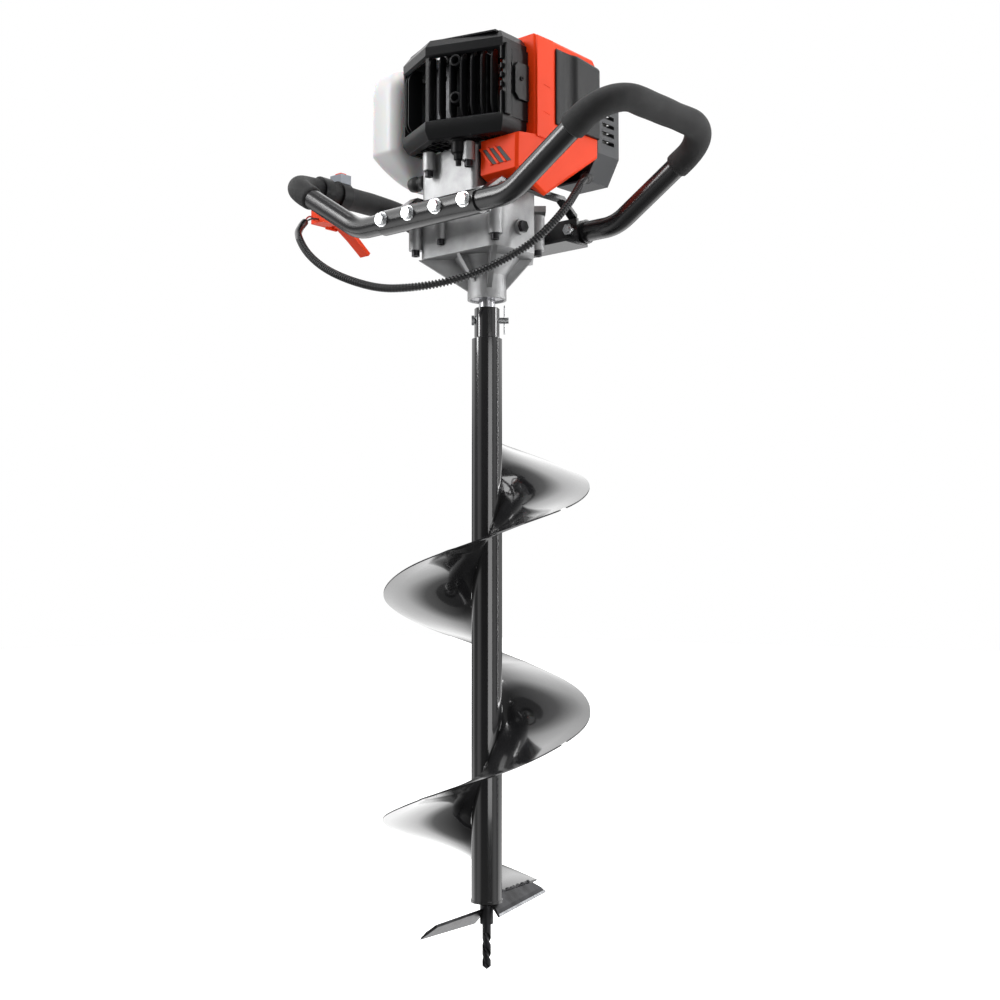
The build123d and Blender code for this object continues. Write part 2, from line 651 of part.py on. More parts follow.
def shroud_form(inset):
    """Solid form of the engine shroud, moved inwards by a wall thickness."""
    side = [
        (-15 + inset, 987 - inset), (-50 + inset, 987 - inset), (-50 + inset, 944 + inset * 0.6),
        (2, 921 + inset * 1.1), (48 - inset * 0.4, 952 + inset * 0.8),
        (106 - inset, 990 + inset * 0.5), (106 - inset, 1106 - inset * 0.4),
        (96 - inset * 0.4, 1116 - inset), (-15 + inset, 1116 - inset),
    ]
    form = along_x(side, (48, 93 - inset))
    upper = [point for point in side if point[1] > 980 and point[0] > -30]
    form += along_x(upper, (34.5, 60))
    form -= along_y([(93, 917), (93, 921 + inset), (76, 942 + inset), (48, 986 - inset),
                     (40, 988), (40, 917)], (-30, 107))
    return form + block((34.5, 93 - inset), (-50 + inset, -25), (944 + inset, 987 - inset))


def engine_shroud():
    """Moulded cover round the cylinder, open towards the crankcase."""
    cover = shroud_form(0) - shroud_form(2.5)
    cover -= block((30, 36), (-47, 103), (940, 1113))
    cover -= block((30, 80), (-16, -12), (989, 1076))
    cover -= block((30, 50), (-47.5, 56), (940, 992))
    cover -= ring(STARTER_RADIUS + 1.5, 0, (1070, 1120))
    for number in range(3):
        x = 38 + 11 * number
        slot = along_y([(x, 975), (x + 6, 975), (x + 24, 955), (x + 18, 955)], (-52, -46))
        cover -= slot
    return cover - rod((51, 100, CRANK_Z), (51, 110, CRANK_Z), 14)


def side_panel():
    """Black access panel on the shroud's outer side."""
    panel = block((93, 95.5), (20, 104), (1012, 1106))
    panel += block((95.5, 97.5), (46, 104), (1020, 1100))
    return panel - rod((90, 96, 1092), (99, 96, 1092), 3)


def carburettor():
    """Carburettor on its spacer, bored through, with a pocket for the primer bulb."""
    body = block((36, 66), (46, 54), (CRANK_Z - 14, CRANK_Z + 14))
    body += block((36, 66), (54, 90), (CRANK_Z - 18, CRANK_Z + 18))
    body += rod((51, 90, CRANK_Z), (51, 110, CRANK_Z), 13)
    body -= rod((48.5, 40, CRANK_Z), (48.5, 70, CRANK_Z), 6)
    body -= rod((51, 69, CRANK_Z), (51, 112, CRANK_Z), 9)
    return body - ring(9.4, 0, (CRANK_Z - 19, CRANK_Z - 11), (51, 72))


def choke_lever():
    """Choke lever on the carburettor's inner side."""
    lever = rod((30, 78, CRANK_Z), (35.5, 78, CRANK_Z), 4)
    arm = [(75, CRANK_Z), (81, CRANK_Z), (84, CRANK_Z + 26), (78, CRANK_Z + 26)]
    return lever + along_x(arm, (30, 32.5))


def primer_bulb():
    """Soft bulb pressed to prime the carburettor."""
    bulb = Pos(51, 72, CRANK_Z - 18) * Sphere(9) & block((40, 62), (60, 84), (990, CRANK_Z - 18))
    return bulb + ring(9, 0, (CRANK_Z - 18, CRANK_Z - 15), (51, 72))


FILTER_END = [(24, 966), (72, 966), (90, 998), (90, 1078), (80, 1088), (24, 1088)]


def air_filter_cover():
    """Louvred cover over the air filter at the engine's rear."""
    inner = [(26.5, 968.5), (70.5, 968.5), (87.5, 999), (87.5, 1077), (79, 1085.5), (26.5, 1085.5)]
    cover = along_y(FILTER_END, (106.2, 150)) - along_y(inner, (106.2, 147.5))
    for z in range(1012, 1068, 11):
        cover -= block((84, 92), (116, 140), (z, z + 5))
        cover -= block((36, 78), (146, 152), (z, z + 5))
    return cover - conduit_path_cut()


def air_filter_element():
    """Foam filter element."""
    return block((34, 80), (116, 138), (990, 1072))


def fuel_tank():
    """Blow-moulded tank with a filler neck and two mounting lugs."""
    tank = block((-145, -86), (-70, 60), (968, 1108))
    tank = fillet(tank.edges(), 20)
    tank += along_y([(-120, 985), (-86, 1000), (-66, 962), (-66, 950), (-92, 950)], (-58, 46))
    tank += ring(17, 0, (1106, 1116), (-115, 30))
    hollow = block((-142.5, -88.5), (-67.5, 57.5), (970.5, 1105.5))
    tank -= fillet(hollow.edges(), 18)
    tank -= ring(14.5, 0, (1098, 1118), (-115, 30))
    return tank + block((-66, -62), (-50, -36), (950, 962)) + block((-66, -62), (24, 38), (950, 962))


def fuel_cap():
    """Screw cap on the filler neck."""
    cap = ring(22, 0, (1110, 1128), (-115, 30)) - ring(17.3, 0, (1109, 1123), (-115, 30))
    for number in range(12):
        cut = ring(2, 0, (1109, 1129), (22.6, 0))
        cap -= Pos(-115, 30, 0) * Rot(0, 0, number * 30) * cut
    return cap


def fuel_hose():
    """Fuel line from the tank to the carburettor."""
    route = FilletPolyline(
        (-66, 10, 990), (-56, 56, 990), (-20, 74, 1000), (20, 72, 1020), (36, 66, 1024), radius=16
    )
    return swept(route, 3, 1.6) - fuel_tank() - carburettor()


# ---------------------------------------------------------------- handles

def handle_points(side):
    """Corners of one bent handle tube, right for +1 and left for -1."""
    half = [(6, RAIL_Z), (ELBOW_X, RAIL_Z), (BAR_X, BAR_Z)]
    front = [(side * x, -RAIL_Y, z) for x, z in half]
    return front + [(x, -y, z) for x, y, z in reversed(front)]


def bolt_bores(radius):
    """Cutter for the bolt holes across both rails."""
    holes = [rod((x, -140, RAIL_Z), (x, 140, RAIL_Z), radius) for x in BOLT_X]
    return holes[0] + holes[1:]


def handle_tube(side):
    """Bent tube of one handle, both ends inside the rail sleeves."""
    path = FilletPolyline(*handle_points(side), radius=[60, 46, 46, 60])
    return swept(path, HANDLE_RADIUS, HANDLE_RADIUS - HANDLE_WALL) - bolt_bores(BOLT_RADIUS + 0.2)


def grip(side):
    """Foam sleeve round the outer part of one handle."""
    rise = (BAR_Z - RAIL_Z) / (BAR_X - ELBOW_X)
    start_z = RAIL_Z + (GRIP_X - ELBOW_X) * rise
    front = [(side * GRIP_X, -RAIL_Y, start_z), (side * BAR_X, -RAIL_Y, BAR_Z)]
    points = front + [(x, -y, z) for x, y, z in reversed(front)]
    path = FilletPolyline(*points, radius=[46, 46])
    return swept(path, GRIP_RADIUS, HANDLE_RADIUS + FIT)


def rail_sleeves():
    """Two sleeves that join the left and right handle tubes."""
    sleeves = []
    for y in (-RAIL_Y, RAIL_Y):
        sleeve = rod((-RAIL_HALF, y, RAIL_Z), (RAIL_HALF, y, RAIL_Z), RAIL_RADIUS)
        bore = rod((-RAIL_HALF, y, RAIL_Z), (RAIL_HALF, y, RAIL_Z), HANDLE_RADIUS + FIT)
        sleeves.append(sleeve - bore - bolt_bores(BOLT_RADIUS + 0.2))
    return Compound(children=sleeves)


def mount_plate():
    """Flange behind each rail, the far one with a shelf that reaches in to the gearbox."""
    low = RAIL_Z - RAIL_RADIUS - 4
    inner = RAIL_Y - RAIL_RADIUS - 4
    shelf = block((-78, 78), (CASE_Y + 0.5, RAIL_Y + 3), (low, low + 4))
    shelf -= corner_bosses(9.2, (870, 890))
    shelf -= side_bosses(7.6, (870, 890))
    shelf += block((-78, 78), (inner, inner + 4), (low, 912))
    near = block((-78, 78), (-inner - 4, -inner), (RAIL_Z - 8.5, 912))
    holes = bolt_bores(BOLT_RADIUS + 0.2)
    return Compound(children=[shelf - holes, near - holes])


def frame_braces():
    """Two straps over the gearbox's roof, sloping down to the flanges."""
    top = 5.0
    edge = RAIL_Y - RAIL_RADIUS
    line = [(-edge, 912), (-58, 930), (58, 930), (edge, 912)]
    shape = line + [(y, z + top) for y, z in reversed(line)]
    return Compound(children=[along_x(shape, (63, 76)), along_x(shape, (-76, -63))])


def rail_bolts():
    """Hex bolts through the rails with their washers and nuts."""
    pieces = []
    flange = RAIL_Y - RAIL_RADIUS - 4
    for side in (-1, 1):
        out = Plane(origin=(0, side * (RAIL_Y + RAIL_RADIUS), 0), x_dir=(1, 0, 0),
                    z_dir=(0, side, 0))
        for x in BOLT_X:
            spot = (x, side * (RAIL_Y + RAIL_RADIUS + 1.5), RAIL_Z)
            head = Plane(origin=spot, x_dir=(1, 0, 0), z_dir=out.z_dir)
            inner = Plane(origin=(x, side * flange, RAIL_Z), x_dir=(1, 0, 0), z_dir=(0, -side, 0))
            bolt = hexagon(13, head, 5.3)
            bolt += rod(spot, (x, side * (flange - 8), RAIL_Z), BOLT_RADIUS)
            washer = extrude(Plane(origin=(x, spot[1], RAIL_Z), z_dir=(0, -side, 0))
                             * (Circle(9) - Circle(BOLT_RADIUS + 0.1)), amount=1.5)
            nut = hexagon(13, inner, 6.5) - rod((x, 140 * side, RAIL_Z), (x, 0, RAIL_Z), BOLT_RADIUS)
            pieces += [bolt, washer, nut]
    return Compound(children=pieces)


# ---------------------------------------------------------------- controls

def bar_ring(radius, bore, y):
    """Ring round the left handle's crosswise bar."""
    outer = rod((-BAR_X, y[0], BAR_Z), (-BAR_X, y[1], BAR_Z), radius)
    return outer - rod((-BAR_X, y[0], BAR_Z), (-BAR_X, y[1], BAR_Z), bore)


def control_clamps():
    """Two clamp bands on the left grip, for the throttle and for the stop switch."""
    bands = [bar_ring(CLAMP_RADIUS, GRIP_RADIUS + FIT, y) for y in ((-44, -28), (-12, 4))]
    return Compound(children=bands)


def throttle_body():
    """Throttle housing hung under the grip, with two ears for the lever's pivot."""
    left, right = -BAR_X - 9, -BAR_X + 15
    body = block((left, right), (-48, -22), (940, 969))
    for x in ((left, left + 3), (right - 3, right)):
        body += block(x, (-23, -4), (938, 953))
    body += rod((left, PIVOT_Y, PIVOT_Z), (right, PIVOT_Y, PIVOT_Z), 2)
    return body - rod((-BAR_X, -55, BAR_Z), (-BAR_X, 10, BAR_Z), CLAMP_RADIUS)


def throttle_lever():
    """Trigger paddle squeezed up towards the grip."""
    profile = [(0, 4.5), (-3, -2.5), (3, -5), (24, -18.5), (48, -36.5), (51, -32.5), (26, -12.5)]
    arm = [(PIVOT_Y + y, PIVOT_Z + z) for y, z in profile]
    low, high = -BAR_X - 5.5, -BAR_X + 11.5
    lever = along_x(arm, (low, high))
    lever += rod((low, PIVOT_Y, PIVOT_Z), (high, PIVOT_Y, PIVOT_Z), 5)
    return lever - rod((-300, PIVOT_Y, PIVOT_Z), (-240, PIVOT_Y, PIVOT_Z), 2 + 0.08)


def stop_switch():
    """Switch housing on top of the grip with a pocket for its button."""
    body = block((-BAR_X - 11, -BAR_X + 11), (-13, 5), (1000, 1013))
    body -= rod((-BAR_X, -20, BAR_Z), (-BAR_X, 20, BAR_Z), CLAMP_RADIUS)
    return body - block((-BAR_X - 6, -BAR_X + 6), (-9, 1), (1008, 1014))


def stop_button():
    """Button of the stop switch."""
    return block((-BAR_X - 5.7, -BAR_X + 5.7), (-8.7, 0.7), (1010.5, 1016))


def conduit_path():
    """Centre line of the wiring conduit, straight runs joined by tangent arcs."""
    points = [Vector(*point) for point in CONDUIT_ROUTE]
    radii = []
    for before, here, after in zip(points, points[1:], points[2:]):
        turn = math.radians((here - before).get_angle(after - here))
        shorter = min((here - before).length, (after - here).length)
        radii.append(0.45 * shorter / math.tan(turn / 2))
    print("conduit radii", [round(radius) for radius in radii])
    return FilletPolyline(*points, radius=radii)


def conduit_path_cut():
    """Cutter for the conduit's way out of the filter cover."""
    start = CONDUIT_ROUTE[0]
    end = CONDUIT_ROUTE[1]
    return rod(start, end, CONDUIT_RADIUS + 1.5) + Pos(*start) * Sphere(CONDUIT_RADIUS + 1.5)


def conduit():
    """Split conduit that holds the throttle cable and switch wires."""
    path = conduit_path()
    tube = swept(path, CONDUIT_RADIUS)
    section = math.pi * CONDUIT_RADIUS ** 2
    print("conduit length", round(path.length), "volume ratio",
          round(tube.volume / (section * path.length), 4))
    return tube


def control_wires():
    """The two wires that leave the conduit's end for the throttle housing."""
    end = CONDUIT_ROUTE[-1]
    pieces = [rod((end[0] + x, end[1] + 0.2, 941), (end[0] + x, -48.4, 944), 1.3) for x in (-2, 2)]
    return Compound(children=pieces) - conduit_end_cut()


def conduit_end_cut():
    """Cutter that keeps the wires clear of the conduit's end face."""
    last = Vector(*CONDUIT_ROUTE[-1])
    heading = (last - Vector(*CONDUIT_ROUTE[-2])).normalized()
    start = last - heading * 12
    return rod(start, last + heading * 0.2, CONDUIT_RADIUS + 1)


PIECES = {
    "bit_tube": bit_tube,
    "bit_collar": bit_collar,
    "flight": flight,
    "cutting_blade_right": lambda: cutting_blade(100.5, 82.5),
    "cutting_blade_left": lambda: cutting_blade(280.5, 69.5),
    "pilot_drill": pilot_drill,
    "cross_pin": cross_pin,
    "r_clip": r_clip,
    "output_shaft": output_shaft,
    "output_gear": output_gear,
    "countershaft": countershaft,
    "intermediate_gear": intermediate_gear,
    "input_pinion": input_pinion,
    "clutch_drum": clutch_drum,
    "clutch_shoes": clutch_shoes,
    "bearings": bearings,
    "gearbox_lower": gearbox_lower,
    "bearing_plate": bearing_plate,
    "gearbox_upper": gearbox_upper,
    "gearbox_screws": gearbox_screws,
    "clutch_housing": clutch_housing,
    "crankcase": crankcase,
    "crankshaft": crankshaft,
    "connecting_rod": connecting_rod,
    "piston": piston,
    "cylinder": cylinder,
    "spark_plug": spark_plug,
    "ignition_coil": ignition_coil,
    "flywheel": flywheel,
    "starter_housing": starter_housing,
    "starter_pulley": starter_pulley,
    "starter_rope": starter_rope,
    "starter_handle": starter_handle,
    "muffler": muffler,
    "muffler_guard": muffler_guard,
    "engine_shroud": engine_shroud,
    "side_panel": side_panel,
    "carburettor": carburettor,
    "choke_lever": choke_lever,
    "primer_bulb": primer_bulb,
    "air_filter_cover": air_filter_cover,
    "air_filter_element": air_filter_element,
    "fuel_tank": fuel_tank,
    "fuel_cap": fuel_cap,
    "fuel_hose": fuel_hose,
    "handle_tube_right": lambda: handle_tube(1),
    "handle_tube_left": lambda: handle_tube(-1),
    "grip_right": lambda: grip(1),
    "grip_left": lambda: grip(-1),
    "rail_sleeves": rail_sleeves,
    "mount_plate": mount_plate,
    "frame_braces": frame_braces,
    "rail_bolts": rail_bolts,
    "control_clamps": control_clamps,
    "throttle_body": throttle_body,
    "throttle_lever": throttle_lever,
    "stop_switch": stop_switch,
    "stop_button": stop_button,
    "conduit": conduit,
    "control_wires": control_wires,
}

for name, make in PIECES.items():
    save(name, make())
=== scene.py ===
import json
import math

import bpy
import numpy as np
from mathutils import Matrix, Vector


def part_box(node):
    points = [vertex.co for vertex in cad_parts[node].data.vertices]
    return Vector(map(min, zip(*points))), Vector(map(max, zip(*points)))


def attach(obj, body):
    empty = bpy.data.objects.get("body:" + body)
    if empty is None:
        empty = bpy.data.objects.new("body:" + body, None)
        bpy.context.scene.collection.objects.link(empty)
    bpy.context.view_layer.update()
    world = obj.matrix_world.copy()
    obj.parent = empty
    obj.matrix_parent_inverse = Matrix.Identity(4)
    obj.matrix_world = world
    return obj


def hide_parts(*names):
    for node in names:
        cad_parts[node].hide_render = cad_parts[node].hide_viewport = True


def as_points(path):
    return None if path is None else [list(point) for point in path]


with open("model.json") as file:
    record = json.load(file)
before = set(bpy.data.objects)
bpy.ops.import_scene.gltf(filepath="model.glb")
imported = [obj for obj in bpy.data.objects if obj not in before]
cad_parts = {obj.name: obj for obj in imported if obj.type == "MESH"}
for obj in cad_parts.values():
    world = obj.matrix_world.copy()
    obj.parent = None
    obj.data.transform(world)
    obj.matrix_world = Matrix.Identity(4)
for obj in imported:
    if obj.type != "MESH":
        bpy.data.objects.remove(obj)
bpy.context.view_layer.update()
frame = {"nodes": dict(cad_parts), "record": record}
NODES = frame["nodes"]
rng = np.random.default_rng(7)

# Camera: a little under half way up the auger, looking slightly up at the engine.
view = bpy.data.cameras.new("view")
view.lens = 52.1
view.sensor_width = 36.0
camera = bpy.data.objects.new("view", view)
camera.location = (1.189, -1.298, 0.452)
camera.rotation_euler = (math.radians(93.56), 0.0, math.radians(41.97))
bpy.context.collection.objects.link(camera)
bpy.context.scene.camera = camera


# ---------------------------------------------------------------- meshes

def put(name, points, faces, material, body, smooth=True):
    """A mesh object from points in metres, shaded smooth or flat, riding on a body."""
    mesh = bpy.data.meshes.new(name)
    mesh.from_pydata(np.asarray(points, float).tolist(), [], [list(map(int, f)) for f in faces])
    mesh.materials.append(material)
    mesh.polygons.foreach_set("use_smooth", np.full(len(mesh.polygons), smooth))
    mesh.update()
    piece = bpy.data.objects.new(name, mesh)
    bpy.context.collection.objects.link(piece)
    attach(piece, body)
    return piece


def grid_faces(rows, columns, wrap=True, offset=0):
    """Quads of a rows by columns grid, its columns closed into rings when wrap is set."""
    row = np.arange(rows - 1)[:, None]
    column = np.arange(columns if wrap else columns - 1)[None, :]
    beside = (column + 1) % columns
    corners = [row * columns + column, row * columns + beside,
               (row + 1) * columns + beside, (row + 1) * columns + column]
    return (np.stack(corners, -1).reshape(-1, 4) + offset).tolist()


def rings_mesh(rings, caps=(True, True)):
    """Rings of points (row, column, 3) skinned into a tube whose ends may be closed by caps."""
    rows, columns, _ = rings.shape
    faces = grid_faces(rows, columns)
    if caps[0]:
        faces.append(list(range(columns))[::-1])
    if caps[1]:
        faces.append(list(range((rows - 1) * columns, rows * columns)))
    return rings.reshape(-1, 3), faces


def outward(points, faces):
    """The same faces, turned over together if the closed shape they make is inside out, which the
    sign of its volume tells: the sum of a . (b x c) over the triangles that fan out of each face."""
    fans = [(face[0], b, c) for face in faces for b, c in zip(face[1:], face[2:])]
    a, b, c = points[np.array(fans)].transpose(1, 0, 2)
    volume = np.sum(a * np.cross(b, c))
    return faces if volume > 0 else [face[::-1] for face in faces]


def join(parts):
    """Several (points, faces) pieces gathered into one, each turned to face outwards."""
    points, faces, start = [], [], 0
    for piece_points, piece_faces in parts:
        piece_points = np.asarray(piece_points, float)
        faces += [[i + start for i in face] for face in outward(piece_points, piece_faces)]
        points.append(piece_points)
        start += len(piece_points)
    return np.concatenate(points), faces


def along(path, radius, sides=24, up=(0.0, 0.0, 1.0)):
    """Rings round a path: each ring is a circle of the local radius, square to the path's tangent,
    measured from the cross product of the tangent and a fixed upward direction."""
    path = np.asarray(path, float)
    tangent = np.gradient(path, axis=0)
    tangent /= np.linalg.norm(tangent, axis=1)[:, None]
    side = np.cross(tangent, np.asarray(up))
    side /= np.linalg.norm(side, axis=1)[:, None]
    top = np.cross(side, tangent)
    angle = np.linspace(0, 2 * np.pi, sides, endpoint=False)
    radius = np.broadcast_to(np.asarray(radius, float), (len(path),))
    circle = np.cos(angle)[None, :, None] * side[:, None] + np.sin(angle)[None, :, None] * top[:, None]
    return path[:, None] + radius[:, None, None] * circle


def turned(origin, axis, profile, sides=28):
    """A profile of (distance along the axis, radius) turned about an axis; closed ends."""
    axis = np.asarray(axis, float) / np.linalg.norm(axis)
    helper = np.array([0.0, 0.0, 1.0]) if abs(axis[2]) < 0.9 else np.array([1.0, 0.0, 0.0])
    u = np.cross(axis, helper)
    u /= np.linalg.norm(u)
    v = np.cross(axis, u)
    angle = np.linspace(0, 2 * np.pi, sides, endpoint=False)
    profile = np.asarray(profile, float)
    circle = np.cos(angle)[None, :, None] * u + np.sin(angle)[None, :, None] * v
    rings = np.asarray(origin, float) + profile[:, :1, None] * axis + profile[:, 1:, None] * circle
    return rings_mesh(rings)


def slab(outline, origin, across, up, thickness):
    """A flat polygon in the plane of two directions, carried through its thickness both ways."""
    across, up = np.asarray(across, float), np.asarray(up, float)
    normal = np.cross(across, up)
    outline = np.asarray(outline)
    flat = np.asarray(origin, float) + outline[:, :1] * across + outline[:, 1:] * up
    return rings_mesh(np.stack([flat - normal * thickness / 2, flat + normal * thickness / 2]))


def band(plan, profile):
    """A profile of (outward distance, height) carried along a plan outline, mitred at its corners:
    every corner moves out along the sum of its two edge normals over one plus their cosine."""
    plan = np.asarray(plan, float)
    edge = np.diff(plan, axis=0)
    edge /= np.linalg.norm(edge, axis=1)[:, None]
    normal = np.stack([edge[:, 1], -edge[:, 0]], 1)
    before = np.concatenate([normal[:1], normal])
    after = np.concatenate([normal, normal[-1:]])
    mitre = (before + after) / (1 + np.sum(before * after, 1))[:, None]
    profile = np.asarray(profile, float)
    rings = np.zeros((len(plan), len(profile), 3))
    rings[..., :2] = plan[:, None] + mitre[:, None] * profile[None, :, :1]
    rings[..., 2] = profile[None, :, 1]
    return rings_mesh(rings)


def bevel(piece, width, segments=2, angle=30.0):
    """Rounds a piece's edges and shades it by weighted normals."""
    cut = piece.modifiers.new("edge rounding", "BEVEL")
    cut.width = width
    cut.segments = segments
    cut.limit_method = "ANGLE"
    cut.angle_limit = math.radians(angle)
    cut.harden_normals = False
    piece.modifiers.new("shading", "WEIGHTED_NORMAL")


# ---------------------------------------------------------------- materials

def finish(name, colour, rough, metal=0.0, grain=900.0, bump=0.05, vary=0.12, stretch=(1, 1, 1),
           rough_vary=0.12, coat=0.0, blotch=14.0, second=None, depth=0.0004, **sockets):
    """A surface finish: broad and fine noise on Object coordinates shift its colour between two
    shades, its roughness, and raise a fine grain."""
    material = bpy.data.materials.new(name)
    material.use_nodes = True
    tree = material.node_tree
    shader = tree.nodes["Principled BSDF"]
    place = tree.nodes.new("ShaderNodeTexCoord")
    turn = tree.nodes.new("ShaderNodeMapping")
    turn.inputs["Scale"].default_value = stretch
    tree.links.new(place.outputs["Object"], turn.inputs["Vector"])
    broad = tree.nodes.new("ShaderNodeTexNoise")
    broad.inputs["Scale"].default_value = blotch
    broad.inputs["Detail"].default_value = 5.0
    fine = tree.nodes.new("ShaderNodeTexNoise")
    fine.inputs["Scale"].default_value = grain
    fine.inputs["Detail"].default_value = 3.0
    for noise in (broad, fine):
        tree.links.new(turn.outputs["Vector"], noise.inputs["Vector"])
    shade = tree.nodes.new("ShaderNodeValToRGB")
    base = np.array(colour)
    low = base * (1 - vary) if second is None else np.array(second)
    shade.color_ramp.elements[0].color = (*low, 1)
    shade.color_ramp.elements[0].position = 0.32
    shade.color_ramp.elements[1].color = (*np.minimum(base * (1 + vary), 1), 1)
    shade.color_ramp.elements[1].position = 0.68
    tree.links.new(broad.outputs["Fac"], shade.inputs["Fac"])
    tree.links.new(shade.outputs["Color"], shader.inputs["Base Color"])
    spread = tree.nodes.new("ShaderNodeMapRange")
    spread.inputs["To Min"].default_value = max(rough - rough_vary, 0.02)
    spread.inputs["To Max"].default_value = min(rough + rough_vary, 1.0)
    tree.links.new(fine.outputs["Fac"], spread.inputs["Value"])
    tree.links.new(spread.outputs["Result"], shader.inputs["Roughness"])
    raised = tree.nodes.new("ShaderNodeBump")
    raised.inputs["Strength"].default_value = bump
    raised.inputs["Distance"].default_value = depth
    tree.links.new(fine.outputs["Fac"], raised.inputs["Height"])
    tree.links.new(raised.outputs["Normal"], shader.inputs["Normal"])
    shader.inputs["Metallic"].default_value = metal
    shader.inputs["Coat Weight"].default_value = coat
    for socket, value in sockets.items():
        shader.inputs[socket.replace("_", " ")].default_value = value
    return material


gloss_black = finish("gloss black enamel", (0.012, 0.012, 0.013), 0.15, grain=120, bump=0.03,
                     vary=0.3, rough_vary=0.04, coat=1.0, Coat_Roughness=0.06)
tube_black = finish("smooth black enamel", (0.010, 0.010, 0.011), 0.26, grain=150, bump=0.01,
                    vary=0.25, rough_vary=0.02, coat=0.3, Coat_Roughness=0.18)
cast = finish("cast aluminium", (0.36, 0.362, 0.366), 0.44, metal=0.85, grain=1100, bump=0.6,
              vary=0.2, rough_vary=0.12, blotch=34, depth=0.0007)
machined = finish("machined steel", (0.5, 0.5, 0.52), 0.3, metal=1.0, grain=160, bump=0.2,
                  vary=0.1, stretch=(1, 1, 14), blotch=40)
blackened = finish("blackened steel", (0.035, 0.035, 0.038), 0.34, metal=0.7, grain=500, bump=0.25,
                   vary=0.35, blotch=60, second=(0.012, 0.012, 0.013))
zinc = finish("bright zinc plate", (0.72, 0.73, 0.74), 0.24, metal=1.0, grain=700, bump=0.12,
              vary=0.14, blotch=120)
orange = finish("orange moulded plastic", (0.86, 0.052, 0.006), 0.42, grain=1500, bump=0.2,
                vary=0.04, rough_vary=0.08, Specular_IOR_Level=0.12)
black_plastic = finish("black moulded plastic", (0.006, 0.0062, 0.0068), 0.36, grain=1600, bump=0.4,
                       vary=0.22, rough_vary=0.1, Specular_IOR_Level=0.18)
grey_plastic = finish("dark grey moulded plastic", (0.022, 0.024, 0.028), 0.42, grain=1600,
                      bump=0.45, vary=0.15, Specular_IOR_Level=0.35)
rubber = finish("black rubber", (0.018, 0.018, 0.018), 0.55, grain=900, bump=0.35, vary=0.3)
loom = finish("black split loom", (0.013, 0.013, 0.014), 0.24, grain=700, bump=0.1, vary=0.3,
              rough_vary=0.06)
foam = finish("closed-cell foam", (0.010, 0.010, 0.0105), 0.62, grain=1300, bump=0.8, vary=0.3,
              rough_vary=0.12, depth=0.0009, blotch=50, Specular_IOR_Level=0.34)
tank_skin = finish("milky tank plastic", (0.60, 0.61, 0.615), 0.34, grain=500, bump=0.12, vary=0.03,
                   Subsurface_Weight=0.55, Subsurface_Scale=0.02, blotch=9)
wire_red = finish("red wire jacket", (0.55, 0.02, 0.012), 0.35, grain=800, bump=0.15, vary=0.15)
rope_fibre = finish("braided rope", (0.6, 0.6, 0.57), 0.8, grain=1400, bump=0.8, vary=0.2)
filter_foam = finish("filter foam", (0.2, 0.2, 0.19), 0.9, grain=1500, bump=1.0, vary=0.3)
glazed = finish("glazed porcelain", (0.82, 0.81, 0.78), 0.18, grain=200, bump=0.05, vary=0.04)
switch_grey = finish("blue-grey moulded plastic", (0.16, 0.18, 0.21), 0.35, grain=900, bump=0.2,
                     vary=0.12)
ground_edge = finish("ground cutting edge", (0.55, 0.56, 0.58), 0.28, metal=1.0, grain=220,
                     bump=0.5, vary=0.2, stretch=(6, 1, 1), blotch=30)

FINISHES = {
    "black_gloss": gloss_black, "bright_steel": machined, "dark_steel": blackened, "zinc": zinc,
    "cast_aluminium": cast, "orange_plastic": orange, "black_plastic": black_plastic,
    "grey_plastic": grey_plastic, "tank_white": tank_skin, "foam": foam, "black_rubber": rubber,
    "copper_red": wire_red, "white_rope": rope_fibre, "filter_foam": filter_foam,
    "porcelain": glazed,
}
OWN_FINISH = {
    "handle_tube_left": tube_black, "handle_tube_right": tube_black, "rail_sleeves": tube_black,
    "mount_plate": tube_black, "frame_braces": tube_black, "muffler": blackened,
    "stop_switch": switch_grey, "starter_housing": black_plastic,
}
for entry in frame["record"]["subparts"]:
    node = NODES[entry["node"]]
    coat_of = OWN_FINISH.get(entry["node"], FINISHES[entry["material_slot"]])
    for place in node.material_slots:
        place.link = "OBJECT"
        place.material = coat_of


# ---------------------------------------------------------------- wiring conduit

CONDUIT_ROUTE = np.array([
    (68, 113, 972), (86, 82, 959), (100, 52, 936), (106, 24, 908), (94, -12, 867),
    (72, -40, 843), (44, -70, 822), (14, -96, 811), (-20, -113, 808), (-60, -123, 811),
    (-109, -127, 827), (-162, -121, 850), (-205, -113, 877), (-234, -103, 903),
    (-256, -87, 922), (-265, -67, 938),
]) / 1000.0


def smooth_line(name, route, resolution=24):
    """Points of the smooth spline of order three that the route's points control."""
    curve = bpy.data.curves.new(name, "CURVE")
    curve.dimensions = "3D"
    curve.resolution_u = resolution
    spline = curve.splines.new("NURBS")
    spline.points.add(len(route) - 1)
    spline.points.foreach_set("co", np.c_[route, np.ones(len(route))].ravel())
    spline.order_u = 3
    spline.use_endpoint_u = True
    holder = bpy.data.objects.new(name, curve)
    line = bpy.data.meshes.new_from_object(holder)
    points = np.zeros(len(line.vertices) * 3)
    line.vertices.foreach_get("co", points)
    bpy.data.objects.remove(holder)
    bpy.data.meshes.remove(line)
    return points.reshape(-1, 3)


def even_line(points, step):
    """The same line with points at equal steps of its length."""
    run = np.concatenate([[0], np.cumsum(np.linalg.norm(np.diff(points, axis=0), axis=1))])
    count = int(round(run[-1] / step)) + 1
    where = np.linspace(0, run[-1], count)
    return np.stack([np.interp(where, run, points[:, k]) for k in range(3)], 1), where, run[-1]


